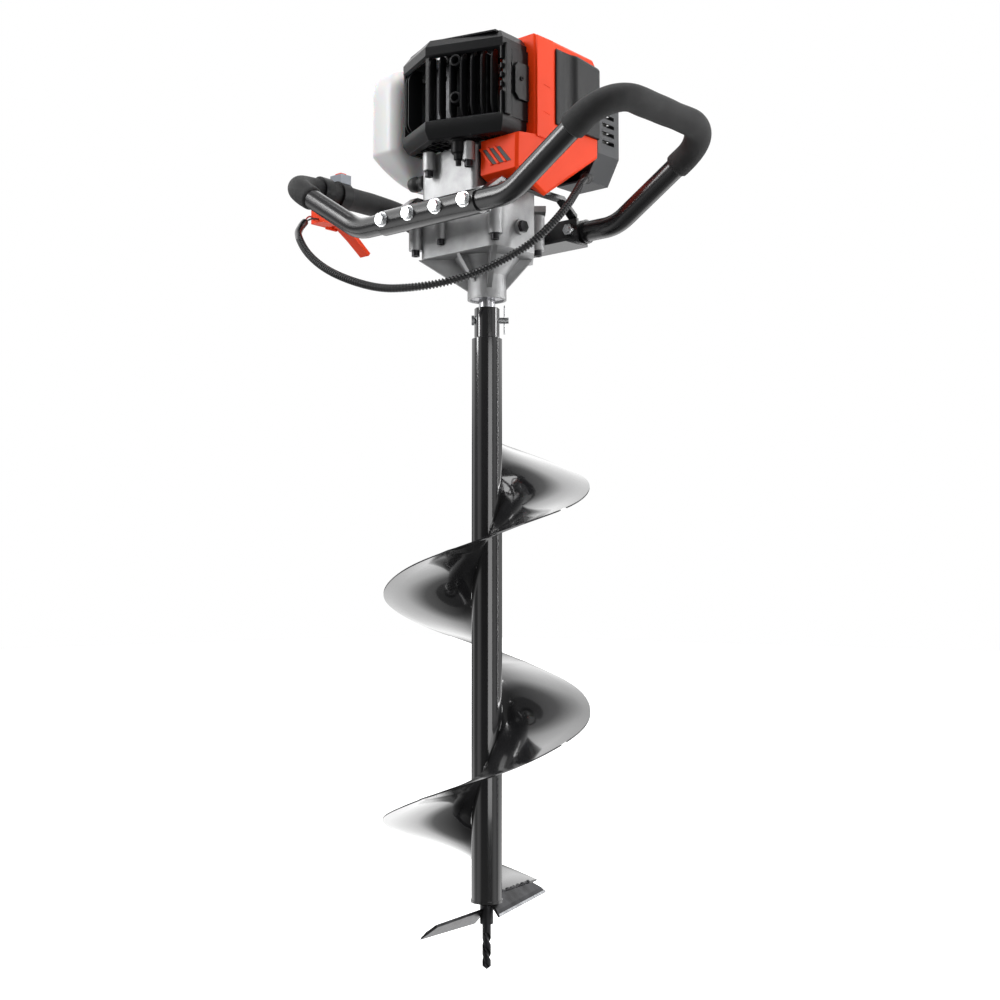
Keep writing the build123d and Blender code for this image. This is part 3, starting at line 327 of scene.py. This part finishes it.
def make_conduit():
    """Corrugated tube: its radius rises and falls as a rounded wave along its length, with a plain
    shrink sleeve over its last stretch, closed ends and a tapered gland round its start."""
    line = smooth_line("conduit line", CONDUIT_ROUTE)
    path, where, length = even_line(line, 0.00060)
    wave = np.clip(np.sin(where * 2 * np.pi / 0.0042) * 1.8, -1, 1)
    radius = 0.00410 + 0.00085 * wave
    sleeve = 1 / (1 + np.exp((length - 0.062 - where) / 0.0008))
    radius = radius * (1 - sleeve) + (0.00485 + 0.0001 * np.sin(where * 240)) * sleeve
    radius[-2:] = (0.0043, 0.0038)
    tube = put("conduit_loom", *rings_mesh(along(path, radius, 18)), loom, "powerhead")
    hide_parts("conduit")
    gland = put("conduit_gland", *turned(path[0], path[12] - path[0],
                [(-0.002, 0.0080), (0.004, 0.0080), (0.005, 0.0066), (0.012, 0.0062), (0.024, 0.0054),
                 (0.0245, 0.0040)]), rubber, "powerhead")
    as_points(path)


make_conduit()


def make_wires():
    """Two thin wires that bow from the conduit's end to the throttle housing: each follows a curve
    raised by a sine of its own progress."""
    start = CONDUIT_ROUTE[-1] + (0, 0.0006, 0.0006)
    finish_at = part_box("throttle_body")[0]
    step = np.linspace(0, 1, 24)
    for name, side, lift, material in (("wire_red", -0.002, 0.006, wire_red),
                                       ("wire_black", 0.002, 0.002, rubber)):
        end = np.array([start[0] + side * 2, finish_at[1] + 0.0005, start[2] + 0.006])
        path = start + (side, 0, 0) + (end - start - (side, 0, 0)) * step[:, None]
        path[:, 2] += lift * np.sin(np.pi * step)
        wire = put(name, *rings_mesh(along(path, 0.0011, 10, up=(1, 0, 0))), material, "powerhead")
        yield wire


wires = list(make_wires())
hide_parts("control_wires")


# ---------------------------------------------------------------- bit

TUBE_RADIUS = 0.0187
FLIGHT_PITCH = 0.270
FLIGHT_ANGLE = 101.8


def make_flight():
    """Helical plate: height is the pitch times the angle turned, the radius runs from the tube to
    the rim, and the second face is the first lifted by the plate's thickness. A faint ripple and
    three lap seams vary the surface."""
    pitch, foot_angle = FLIGHT_PITCH, math.radians(FLIGHT_ANGLE)
    foot, top = 0.084, 0.645
    turns = (top - foot) / pitch
    t = np.linspace(0, 1, 420)
    inner, outer = TUBE_RADIUS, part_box("flight")[1][0]
    across = np.linspace(0, 1, 14)
    t_grid, a_grid = np.meshgrid(t, across, indexing="ij")
    angle = foot_angle + 2 * np.pi * turns * t_grid
    radius = inner + (outer - inner) * a_grid
    height = foot + (top - foot) * t_grid
    height = height + 0.0006 * np.sin(angle * 5.3) * a_grid ** 2
    for seam in (0.235, 0.49, 0.735):
        height = height + 0.0005 * np.exp(-((t_grid - seam) / 0.0034) ** 2) * (a_grid > 0.02)
    slope = pitch / (2 * np.pi * radius)
    half = 0.0014 * np.sqrt(1 + np.minimum(slope, 1.4) ** 2)
    rim = np.where((a_grid > 0.999) | (a_grid < 0.001), 0.55, 1.0)
    x, y = radius * np.cos(angle), radius * np.sin(angle)
    upper = np.stack([x, y, height + half * rim], -1)
    lower = np.stack([x, y, height - half * rim], -1)
    rings = np.concatenate([upper, lower[:, ::-1]], 1)
    points, faces = rings_mesh(rings)
    plate = put("flight_plate", *join([(points, faces)]), gloss_black, "bit")
    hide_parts("flight")
    edge = plate.modifiers.new("rim", "EDGE_SPLIT")
    edge.split_angle = math.radians(40)


make_flight()


def weld_line(name, start, end, radius, body, count=46):
    """Rough weld bead: a tube between two points whose radius wanders by a seeded sum of waves."""
    step = np.linspace(0, 1, count)
    path = np.asarray(start) + (np.asarray(end) - np.asarray(start)) * step[:, None]
    path = path + rng.normal(0, radius * 0.16, path.shape)
    size = radius * (1 + 0.28 * np.sin(step * count * 0.9) + rng.normal(0, 0.1, count))
    size[[0, -1]] = radius * 0.3
    bead = put(name, *rings_mesh(along(path, size, 10)), blackened, body)


def make_blade_weld():
    """Weld along the joint of the right blade and the flight's foot, just above the blade."""
    heading = math.radians(101.6)
    reach = np.array([math.cos(heading), math.sin(heading)])
    weld_line("blade_weld", (*(reach * 0.022), 0.0848), (*(reach * 0.104), 0.0850), 0.0023, "bit")


make_blade_weld()


def make_root_weld():
    """Fillet weld where the flight meets the tube: a thin bead that follows the inner helix in
    short stitches."""
    parts = []
    for first in np.arange(0.01, 0.98, 0.085):
        t = np.linspace(first, first + 0.022, 16)
        angle = math.radians(FLIGHT_ANGLE) + 2 * np.pi * (0.561 / FLIGHT_PITCH) * t
        path = np.stack([TUBE_RADIUS * np.cos(angle), TUBE_RADIUS * np.sin(angle),
                         0.0868 + 0.561 * t], 1)
        taper = np.sqrt(np.clip(1 - np.linspace(-1, 1, 16) ** 2, 0.05, 1))
        size = 0.0019 * (1 + 0.2 * np.sin(t * 900)) * taper
        parts.append(rings_mesh(along(path, size, 8, up=(0.3, 0.2, 1))))
    beads = put("flight_root_welds", *join(parts), gloss_black, "bit")


make_root_weld()


BLADE_PITCH = 45.0


def make_blade_edge(name, angle, trailing):
    """Bright ground strip on a blade's bevel: a thin sheet between the blade's leading edge and a
    line parallel to it, pitched and turned with the blade."""
    heading, pitch = math.radians(angle), math.radians(BLADE_PITCH)
    flat = np.array([(-0.0022, -0.02665, 0.0012), (0.1205, -0.0168, 0.0012),
                     (0.1202, -0.0142, 0.00246), (-0.0022, -0.0240, 0.00246)])
    strip = np.stack([flat, flat - (0, 0.0002, 0.0006)])
    y = strip[..., 1] * math.cos(pitch) - strip[..., 2] * math.sin(pitch)
    z = strip[..., 1] * math.sin(pitch) + strip[..., 2] * math.cos(pitch) + trailing
    x = strip[..., 0]
    placed = np.stack([x * math.cos(heading) - y * math.sin(heading),
                       x * math.sin(heading) + y * math.cos(heading), z], -1)
    edge = put(name, *join([rings_mesh(placed)]), ground_edge, "bit", smooth=False)


make_blade_edge("blade_edge_right", 100.5, 0.0825)
make_blade_edge("blade_edge_left", 280.5, 0.0695)


# ---------------------------------------------------------------- foam grips

RAIL_Y = 0.098
BAR_X, BAR_Z = 0.266, 0.985
GRIP_X, GRIP_Z = 0.213, 0.9523
BAR_BEND = 0.046
GRIP_RADIUS = 0.0155


def bent_path(corners, radius, count=26):
    """A polyline whose corners are circular arcs tangent to both runs, sampled along each arc."""
    corners = [np.asarray(c, float) for c in corners]
    pieces = [corners[0][None]]
    for before, here, after in zip(corners, corners[1:], corners[2:]):
        u = (before - here) / np.linalg.norm(before - here)
        v = (after - here) / np.linalg.norm(after - here)
        half = math.acos(float(np.dot(u, v))) / 2
        reach = radius / math.tan(half)
        centre = here + (u + v) / np.linalg.norm(u + v) * radius / math.sin(half)
        first, last = here + u * reach - centre, here + v * reach - centre
        sweep = math.pi - 2 * half
        t = np.linspace(0, 1, count)[:, None]
        arc = (np.sin((1 - t) * sweep) * first + np.sin(t * sweep) * last) / math.sin(sweep)
        pieces.append(centre + arc)
    pieces.append(corners[-1][None])
    return np.concatenate(pieces)


def make_grip(side, name):
    """Foam sleeve: a circle carried along the bent bar, its radius easing in at both ends and
    varying a little along its length by two sines."""
    corners = [(side * GRIP_X, -RAIL_Y, GRIP_Z), (side * BAR_X, -RAIL_Y, BAR_Z),
               (side * BAR_X, RAIL_Y, BAR_Z), (side * GRIP_X, RAIL_Y, GRIP_Z)]
    path, where, length = even_line(bent_path(corners, BAR_BEND), 0.0026)
    edge = np.minimum(where, length - where)
    radius = GRIP_RADIUS - 0.0014 * np.exp(-edge / 0.0016)
    radius = radius + 0.00025 * np.sin(where * 61 + side) + 0.00018 * np.sin(where * 143)
    radius[[0, -1]] = 0.0129
    sleeve = put(name + "_foam", *join([rings_mesh(along(path, radius, 40))]), foam, "powerhead")
    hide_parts(name)


make_grip(1, "grip_right")
make_grip(-1, "grip_left")


# ---------------------------------------------------------------- muffler guard

GUARD_PLAN = np.array([(0.0805, -0.018), (0.083, -0.064), (-0.010, -0.0985), (-0.076, -0.071),
                       (-0.076, -0.018)])


def make_guard():
    """Guard moulded from bands carried along its pointed plan, upright slats and corner posts
    between them, screw bosses, and a ribbed floor."""
    upper = [(-0.004, 1.0865), (0.0, 1.089), (0.0, 1.0995), (-0.0075, 1.110), (-0.030, 1.110),
             (-0.030, 1.1075), (-0.0085, 1.1075), (-0.003, 1.099), (-0.003, 1.0915), (-0.0075, 1.089)]
    lower = [(-0.007, 1.0125), (-0.001, 1.0095), (0.0, 1.007), (0.0, 0.998), (-0.0055, 0.988),
             (-0.013, 0.987), (-0.013, 0.9895), (-0.0065, 0.9905), (-0.003, 0.999), (-0.003, 1.006),
             (-0.0075, 1.0095)]
    plan = GUARD_PLAN[::-1]
    parts = [band(plan, upper), band(plan, lower)]
    roof = [(0.0735, -0.0475), (0.0735, -0.066), (-0.010, -0.0895), (-0.0665, -0.068),
            (-0.0665, -0.0475)]
    parts.append(slab(roof, (0, 0, 1.1087), (1, 0, 0), (0, 1, 0), 0.0024))

    def panel(start, end):
        start, end = np.asarray(start), np.asarray(end)
        run = (end - start) / np.linalg.norm(end - start)
        return start, run, np.array([run[1], -run[0], 0.0])

    slat = [(-0.019, 1.0905), (-0.0075, 1.0905), (-0.0015, 1.081), (-0.0005, 1.076),
            (-0.0005, 1.022), (-0.002, 1.018), (-0.008, 1.010), (-0.019, 1.010)]
    corner = np.array([-0.010, -0.0985, 0.0])
    right, left = np.array([0.083, -0.064, 0.0]), np.array([-0.076, -0.071, 0.0])
    start, run, out = panel(corner, right)
    for distance in (0.005, 0.018, 0.032, 0.046, 0.059, 0.072, 0.085):
        parts.append(slab(slat, start + run * distance, out, (0, 0, 1), 0.0024))
    start, run, out = panel(left, corner)
    for distance in (0.008, 0.016):
        parts.append(slab(slat, start + run * distance, out, (0, 0, 1), 0.0022))
    post = [(-0.012, 1.093), (-0.0035, 1.093), (-0.0035, 1.008), (-0.012, 1.008)]
    for spot in (corner, right, left):
        parts.append(slab(post, spot, (0, -1, 0), (0, 0, 1), 0.006))
    side = np.array([0.0805, -0.041, 0.0])
    for low, high in ((1.008, 1.0355), (1.0405, 1.0465), (1.0515, 1.0575), (1.0625, 1.0685),
                      (1.0735, 1.093)):
        wall = [(-0.0235, low), (-0.004, low), (-0.004, high), (-0.0235, high)]
        parts.append(slab(wall, side, (0, 1, 0), (0, 0, 1), 0.0024))
    wall = [(-0.005, 1.008), (0.024, 1.008), (0.024, 1.093), (-0.005, 1.093)]
    parts.append(slab(wall, side, (0, 1, 0), (0, 0, 1), 0.0028))
    clip = [(-0.003, 1.038), (0.004, 1.031), (0.0215, 1.031), (0.0215, 1.075), (0.002, 1.075),
            (-0.003, 1.069)]
    parts.append(slab(clip, side + (0.0015, 0, 0), (0, 1, 0), (0, 0, 1), 0.0068))
    parts.append(turned((0.0855, -0.033, 1.056), (1, 0, 0),
                        [(-0.002, 0.0030), (0.0012, 0.0030), (0.0016, 0.0024), (0.0016, 0.0014),
                         (0.0004, 0.0012)]))
    west = np.array([-0.0745, -0.044, 0.0])
    wall = [(-0.026, 1.009), (0.026, 1.009), (0.026, 1.092), (-0.026, 1.092)]
    parts.append(slab(wall, west, (0, 1, 0), (0, 0, 1), 0.0024))
    for x in np.arange(-0.062, 0.076, 0.0105):
        depth = 0.0885 - abs(x + 0.010) * (0.36 if x > -0.010 else 0.42)
        rib = [(-depth, 0.988), (-0.048, 0.988), (-0.048, 0.9945), (-depth, 0.9945)]
        parts.append(slab(rib, (x, 0, 0), (0, 1, 0), (0, 0, 1), 0.0032))
    for y in (-0.050, -0.062, -0.073):
        reach = 0.068 if y > -0.066 else 0.042
        bar = [(-reach * 0.85, 0.9885), (reach, 0.9885), (reach, 0.9935), (-reach * 0.85, 0.9935)]
        parts.append(slab(bar, (0, y, 0), (1, 0, 0), (0, 0, 1), 0.0028))
    guard = put("muffler_guard_moulding", *join(parts), black_plastic, "powerhead", smooth=False)
    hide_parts("muffler_guard")
    bevel(guard, 0.0008, 2)


make_guard()


def make_guard_bosses():
    """Two ring bosses on the guard's right panel, each a tube section turned round the panel's
    normal, and a stepped stud under the guard's floor."""
    start, end = np.array([-0.010, -0.0985, 0.0]), np.array([0.083, -0.064, 0.0])
    run = (end - start) / np.linalg.norm(end - start)
    out = np.array([run[1], -run[0], 0.0])
    ring = [(-0.012, 0.0073), (-0.0005, 0.0070), (0.0, 0.0062), (0.0, 0.0048), (-0.0012, 0.0042),
            (-0.012, 0.0040), (-0.0125, 0.0005)]
    parts = [turned(start + run * 0.0385 + (0, 0, z), out, ring) for z in (1.079, 1.034)]
    parts.append(turned((0.016, -0.068, 0.9905), (0, 0, -1),
                        [(0, 0.011), (0.004, 0.0112), (0.006, 0.0092), (0.018, 0.0086), (0.020, 0.0062),
                         (0.026, 0.0056), (0.0272, 0.0036), (0.033, 0.0034)]))
    bosses = put("guard_bosses", *join(parts), black_plastic, "powerhead")
    bosses.modifiers.new("edges", "EDGE_SPLIT").split_angle = math.radians(35)


make_guard_bosses()


# ---------------------------------------------------------------- fuel tank

def make_tank():
    """Blow-moulded tank: stacked superellipse rings, exponent four, whose half-width, half-length
    and centre vary smoothly with height, drawn in to the neck of the mounting at the foot."""
    h = np.linspace(0, 1, 72)
    foot, top = 0.953, 1.108
    z = foot + (top - foot) * h
    ease = np.clip(h / 0.30, 0, 1) ** 0.75
    crown = np.sqrt(np.clip(1 - np.clip((h - 0.80) / 0.2, 0, 1) ** 2.2, 0, 1))
    half_x = (0.010 + 0.0195 * ease) * (0.42 + 0.58 * crown)
    half_y = (0.030 + 0.0345 * ease) * (0.62 + 0.38 * crown)
    half_x[[0, -1]] *= 0.35
    half_y[[0, -1]] *= 0.6
    centre_x = -0.1155 + 0.030 * (1 - ease) ** 1.2
    centre_y = -0.005
    angle = np.linspace(0, 2 * np.pi, 96, endpoint=False)
    c, s = np.cos(angle), np.sin(angle)
    box_c = np.sign(c) * np.abs(c) ** 0.5
    box_s = np.sign(s) * np.abs(s) ** 0.5
    rings = np.stack([centre_x[:, None] + half_x[:, None] * box_c,
                      centre_y + half_y[:, None] * box_s,
                      np.repeat(z[:, None], 96, 1)], -1)
    neck = turned((-0.115, 0.030, 1.104), (0, 0, 1), [(0, 0.016), (0.012, 0.016), (0.0125, 0.0145)])
    tank = put("fuel_tank_shell", *join([rings_mesh(rings), neck]), tank_skin, "powerhead")
    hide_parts("fuel_tank")
    lugs = []
    for y in (-0.043, 0.031):
        lugs.append(turned((-0.088, y, 0.958), (1, 0, 0),
                           [(0, 0.0085), (0.004, 0.0095), (0.010, 0.0095), (0.012, 0.006),
                            (0.016, 0.006), (0.018, 0.0085), (0.026, 0.0085)]))
    grommets = put("tank_grommets", *join(lugs), rubber, "powerhead")


make_tank()


# ---------------------------------------------------------------- orange shroud

def make_shroud():
    """Faceted cover: side outlines in Y and Z, one for each station along X, skinned into a shell
    and given its wall by thickness; the outer station is drawn in for the chamfer."""
    outline = np.array([
        (-0.0155, 0.9905), (-0.0495, 0.9870), (-0.0500, 0.9450), (-0.0300, 0.9360),
        (0.0020, 0.9212), (0.0480, 0.9515), (0.1055, 0.9900), (0.1060, 1.0600), (0.1055, 1.1010),
        (0.0960, 1.1130), (0.0200, 1.1155), (-0.0155, 1.1155),
    ])
    middle = outline.mean(0)
    stations = []
    for x, inset, lift in ((0.0352, 0.0, 0.050), (0.0500, 0.0, 0.040), (0.0760, 0.0, 0.012),
                           (0.0895, 0.0, 0.0), (0.0928, 0.0040, 0.0)):
        pulled = outline + (middle - outline) / np.linalg.norm(middle - outline, axis=1)[:, None] * inset
        raise_by = np.where((outline[:, 1] < 0.975) & (outline[:, 0] > -0.02), lift, 0.0)
        pulled[:, 1] += raise_by
        stations.append(np.c_[np.full(len(outline), x), pulled])
    points, faces = join([rings_mesh(np.array(stations))])
    open_end = set(range(len(outline)))
    faces = [face for face in faces if set(face) != open_end]
    shell = put("engine_shroud_shell", points, faces, orange, "powerhead", smooth=False)
    wall = shell.modifiers.new("wall", "SOLIDIFY")
    wall.thickness = 0.0024
    wall.offset = -1
    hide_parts("engine_shroud")
    bevel(shell, 0.0022, 3, 12)


make_shroud()


def make_shroud_details():
    """Raised details of the cover: a flat pillar at its outer corner with two thin lines across it, and
    the lower front vent, three slanted bars each beside a flat black sheet of painted shade that stands
    in for an opening, which is not cut."""
    parts = []
    pillar = [(-0.0150, 0.990), (0.0145, 0.990), (0.0145, 1.1125), (-0.0150, 1.1125)]
    parts.append(slab(pillar, (0.0935, 0, 0), (0, 1, 0), (0, 0, 1), 0.0026))
    cross_lines = [
        [(-0.0035, 1.022), (0.0085, 1.020), (0.0085, 1.0205), (-0.0035, 1.0225)],
        [(-0.0035, 1.055), (0.0085, 1.053), (0.0085, 1.0535), (-0.0035, 1.0555)],
    ]
    for line in cross_lines:
        parts.append(slab(line, (0.0950, 0, 0), (0, 1, 0), (0, 0, 1), 0.0008))
    trim = put("shroud_pillar", *join(parts), orange, "powerhead", smooth=False)
    bevel(trim, 0.0009, 2)
    bars, shade_slots = [], []
    for x in (0.038, 0.049, 0.060):
        bars.append(slab([(x - 0.0046, 0.9772), (x - 0.0004, 0.9772), (x + 0.0176, 0.9545),
                          (x + 0.0134, 0.9545)], (0, -0.0508, 0), (1, 0, 0), (0, 0, 1), 0.0022))
        # Painted shade: a thin black sheet just proud of the cover takes the place of the dark inside of
        # a vent opening.
        shade_slots.append(slab([(x, 0.975), (x + 0.006, 0.975), (x + 0.024, 0.955), (x + 0.018, 0.955)],
                          (0, -0.0501, 0), (1, 0, 0), (0, 0, 1), 0.0010))
    vent = put("shroud_vent_bars", *join(bars), orange, "powerhead", smooth=False)
    bevel(vent, 0.0006, 2)
    # The vent's painted shade: black sheets laid on the cover where the openings would be.
    vent_shade = put("shroud_vent_painted_shade", *join(shade_slots), rubber, "powerhead", smooth=False)


make_shroud_details()


def make_side_panel():
    """Access panel: a plan outline of flat, hollowed and raised parts carried straight up, drawn in
    a little at its lower and upper ends."""
    plan = np.array([
        (20, 93.05), (20, 94.6), (22, 95.4), (27, 95.2), (33, 94.5), (39, 94.1), (45, 94.3),
        (50, 95.0), (54, 96.2), (57, 97.2), (60, 97.5), (99, 97.5), (102.5, 96.8), (104, 95.4),
        (104, 93.05),
    ]) / 1000
    levels = [(1.0120, 0.0010), (1.0128, 0.0), (1.0900, 0.0), (1.1030, 0.0), (1.1060, 0.0018)]
    rings = []
    for z, inset in levels:
        x = np.maximum(plan[:, 1] - inset, 0.09305)
        y = np.clip(plan[:, 0], 0.020 + inset, 0.104 - inset)
        fall = np.where(z > 1.1, 0.004 * np.clip((plan[:, 0] - 0.06) / 0.04, 0, 1), 0.0)
        rings.append(np.c_[x, y, z - fall])
    panel = put("side_panel_moulding", *join([rings_mesh(np.array(rings))]), black_plastic,
                "powerhead", smooth=False)
    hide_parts("side_panel")
    bevel(panel, 0.0009, 3, 25)
    screw = put("panel_screw", *join([turned((0.0970, 0.096, 1.0915), (1, 0, 0),
                [(-0.001, 0.0048), (0.0004, 0.0048), (0.0005, 0.0032), (-0.0004, 0.0028),
                 (-0.0005, 0.0005)])]), rubber, "powerhead")


make_side_panel()


# ---------------------------------------------------------------- floor, light and view

def make_floor():
    """A wide plain sheet just under the drill's tip, closed as a thin slab and evenly lit."""
    corners = [(-9, -9), (9, -9), (9, 9), (-9, 9)]
    surface = finish("pale floor", (0.93, 0.93, 0.93), 0.8, grain=40, bump=0.0, vary=0.01,
                     Emission_Color=(1, 1, 1, 1), Emission_Strength=0.82)
    points, faces = join([slab(corners, (0, 0, -0.0035), (1, 0, 0), (0, 1, 0), 0.004)])
    mesh = bpy.data.meshes.new("floor")
    mesh.from_pydata(points.tolist(), [], faces)
    mesh.materials.append(surface)
    floor = bpy.data.objects.new("floor", mesh)
    bpy.context.collection.objects.link(floor)
    floor.visible_diffuse = False
    floor.visible_glossy = False


make_floor()


def area_light(name, place, target, size, power):
    """A soft rectangular light aimed at a point."""
    data = bpy.data.lights.new(name, "AREA")
    data.shape = "RECTANGLE"
    data.size, data.size_y = size
    data.energy = power
    lamp = bpy.data.objects.new(name, data)
    place, target = np.array(place, float), np.array(target, float)
    heading = target - place
    lamp.location = place
    lamp.rotation_euler = (math.acos(-heading[2] / np.linalg.norm(heading)), 0,
                           math.atan2(heading[1], heading[0]) - math.pi / 2)
    bpy.context.collection.objects.link(lamp)


area_light("key", (-1.1, -1.6, 1.7), (0, 0, 0.8), (0.5, 1.3), 24)
area_light("fill", (1.7, -0.7, 0.5), (0, 0, 0.8), (1.0, 1.2), 10)
area_light("side strip", (1.3, 1.2, 0.9), (0, 0, 0.6), (0.25, 1.8), 18)
area_light("top", (0.2, -0.3, 2.4), (0, 0, 0.9), (1.2, 1.2), 20)


def grey_ramp(tree, stops):
    """A ramp of grey levels at the given positions."""
    ramp = tree.nodes.new("ShaderNodeValToRGB")
    while len(ramp.color_ramp.elements) < len(stops):
        ramp.color_ramp.elements.new(0.5)
    for element, (position, level) in zip(ramp.color_ramp.elements, stops):
        element.position = position
        element.color = (level, level, level, 1)
    return ramp


VIEW_RIGHT = (0.743, 0.669, 0.0)
VIEW_AHEAD = (-0.669, 0.743, 0.0)


def make_surround():
    """Studio surround: plain white where it is seen, while what it sends onto the object is dark
    near eye level, with two tall bright panels left and right of the view, and bright above and
    below that, most of all behind the object."""
    world = bpy.data.worlds.new("studio")
    world.use_nodes = True
    tree = world.node_tree
    shown = tree.nodes["Background"]
    shown.inputs["Color"].default_value = (1, 1, 1, 1)
    shown.inputs["Strength"].default_value = 1.0
    place = tree.nodes.new("ShaderNodeTexCoord")
    across = tree.nodes.new("ShaderNodeVectorMath")
    across.operation = "DOT_PRODUCT"
    across.inputs[1].default_value = VIEW_RIGHT
    size = tree.nodes.new("ShaderNodeMath")
    size.operation = "ABSOLUTE"
    panels = grey_ramp(tree, [(0.0, 0.10), (0.62, 0.14), (0.80, 0.95), (0.93, 1.0), (0.98, 0.30)])
    height = tree.nodes.new("ShaderNodeSeparateXYZ")
    steep = tree.nodes.new("ShaderNodeMath")
    steep.operation = "ABSOLUTE"
    sweep = grey_ramp(tree, [(0.10, 0.0), (0.34, 1.0), (0.72, 1.0), (0.86, 0.25), (1.0, 0.3)])
    beyond = tree.nodes.new("ShaderNodeVectorMath")
    beyond.operation = "DOT_PRODUCT"
    beyond.inputs[1].default_value = VIEW_AHEAD
    behind = tree.nodes.new("ShaderNodeMapRange")
    behind.inputs["From Min"].default_value = -0.35
    behind.inputs["From Max"].default_value = 0.45
    behind.inputs["To Min"].default_value = 0.35
    behind.inputs["To Max"].default_value = 2.4
    glow = tree.nodes.new("ShaderNodeMath")
    glow.operation = "MULTIPLY"
    total = tree.nodes.new("ShaderNodeMath")
    total.operation = "ADD"
    sent = tree.nodes.new("ShaderNodeBackground")
    sent.inputs["Strength"].default_value = 0.62
    ray = tree.nodes.new("ShaderNodeLightPath")
    choose = tree.nodes.new("ShaderNodeMixShader")
    link = tree.links.new
    link(place.outputs["Generated"], across.inputs[0])
    link(across.outputs["Value"], size.inputs[0])
    link(size.outputs["Value"], panels.inputs["Fac"])
    link(place.outputs["Generated"], height.inputs["Vector"])
    link(height.outputs["Z"], steep.inputs[0])
    link(steep.outputs["Value"], sweep.inputs["Fac"])
    link(place.outputs["Generated"], beyond.inputs[0])
    link(beyond.outputs["Value"], behind.inputs["Value"])
    link(sweep.outputs["Color"], glow.inputs[0])
    link(behind.outputs["Result"], glow.inputs[1])
    link(panels.outputs["Color"], total.inputs[0])
    link(glow.outputs["Value"], total.inputs[1])
    link(total.outputs["Value"], sent.inputs["Color"])
    link(ray.outputs["Is Camera Ray"], choose.inputs["Fac"])
    link(sent.outputs["Background"], choose.inputs[1])
    link(shown.outputs["Background"], choose.inputs[2])
    link(choose.outputs["Shader"], tree.nodes["World Output"].inputs["Surface"])
    bpy.context.scene.world = world


make_surround()
bpy.context.scene.view_settings.view_transform = "Standard"
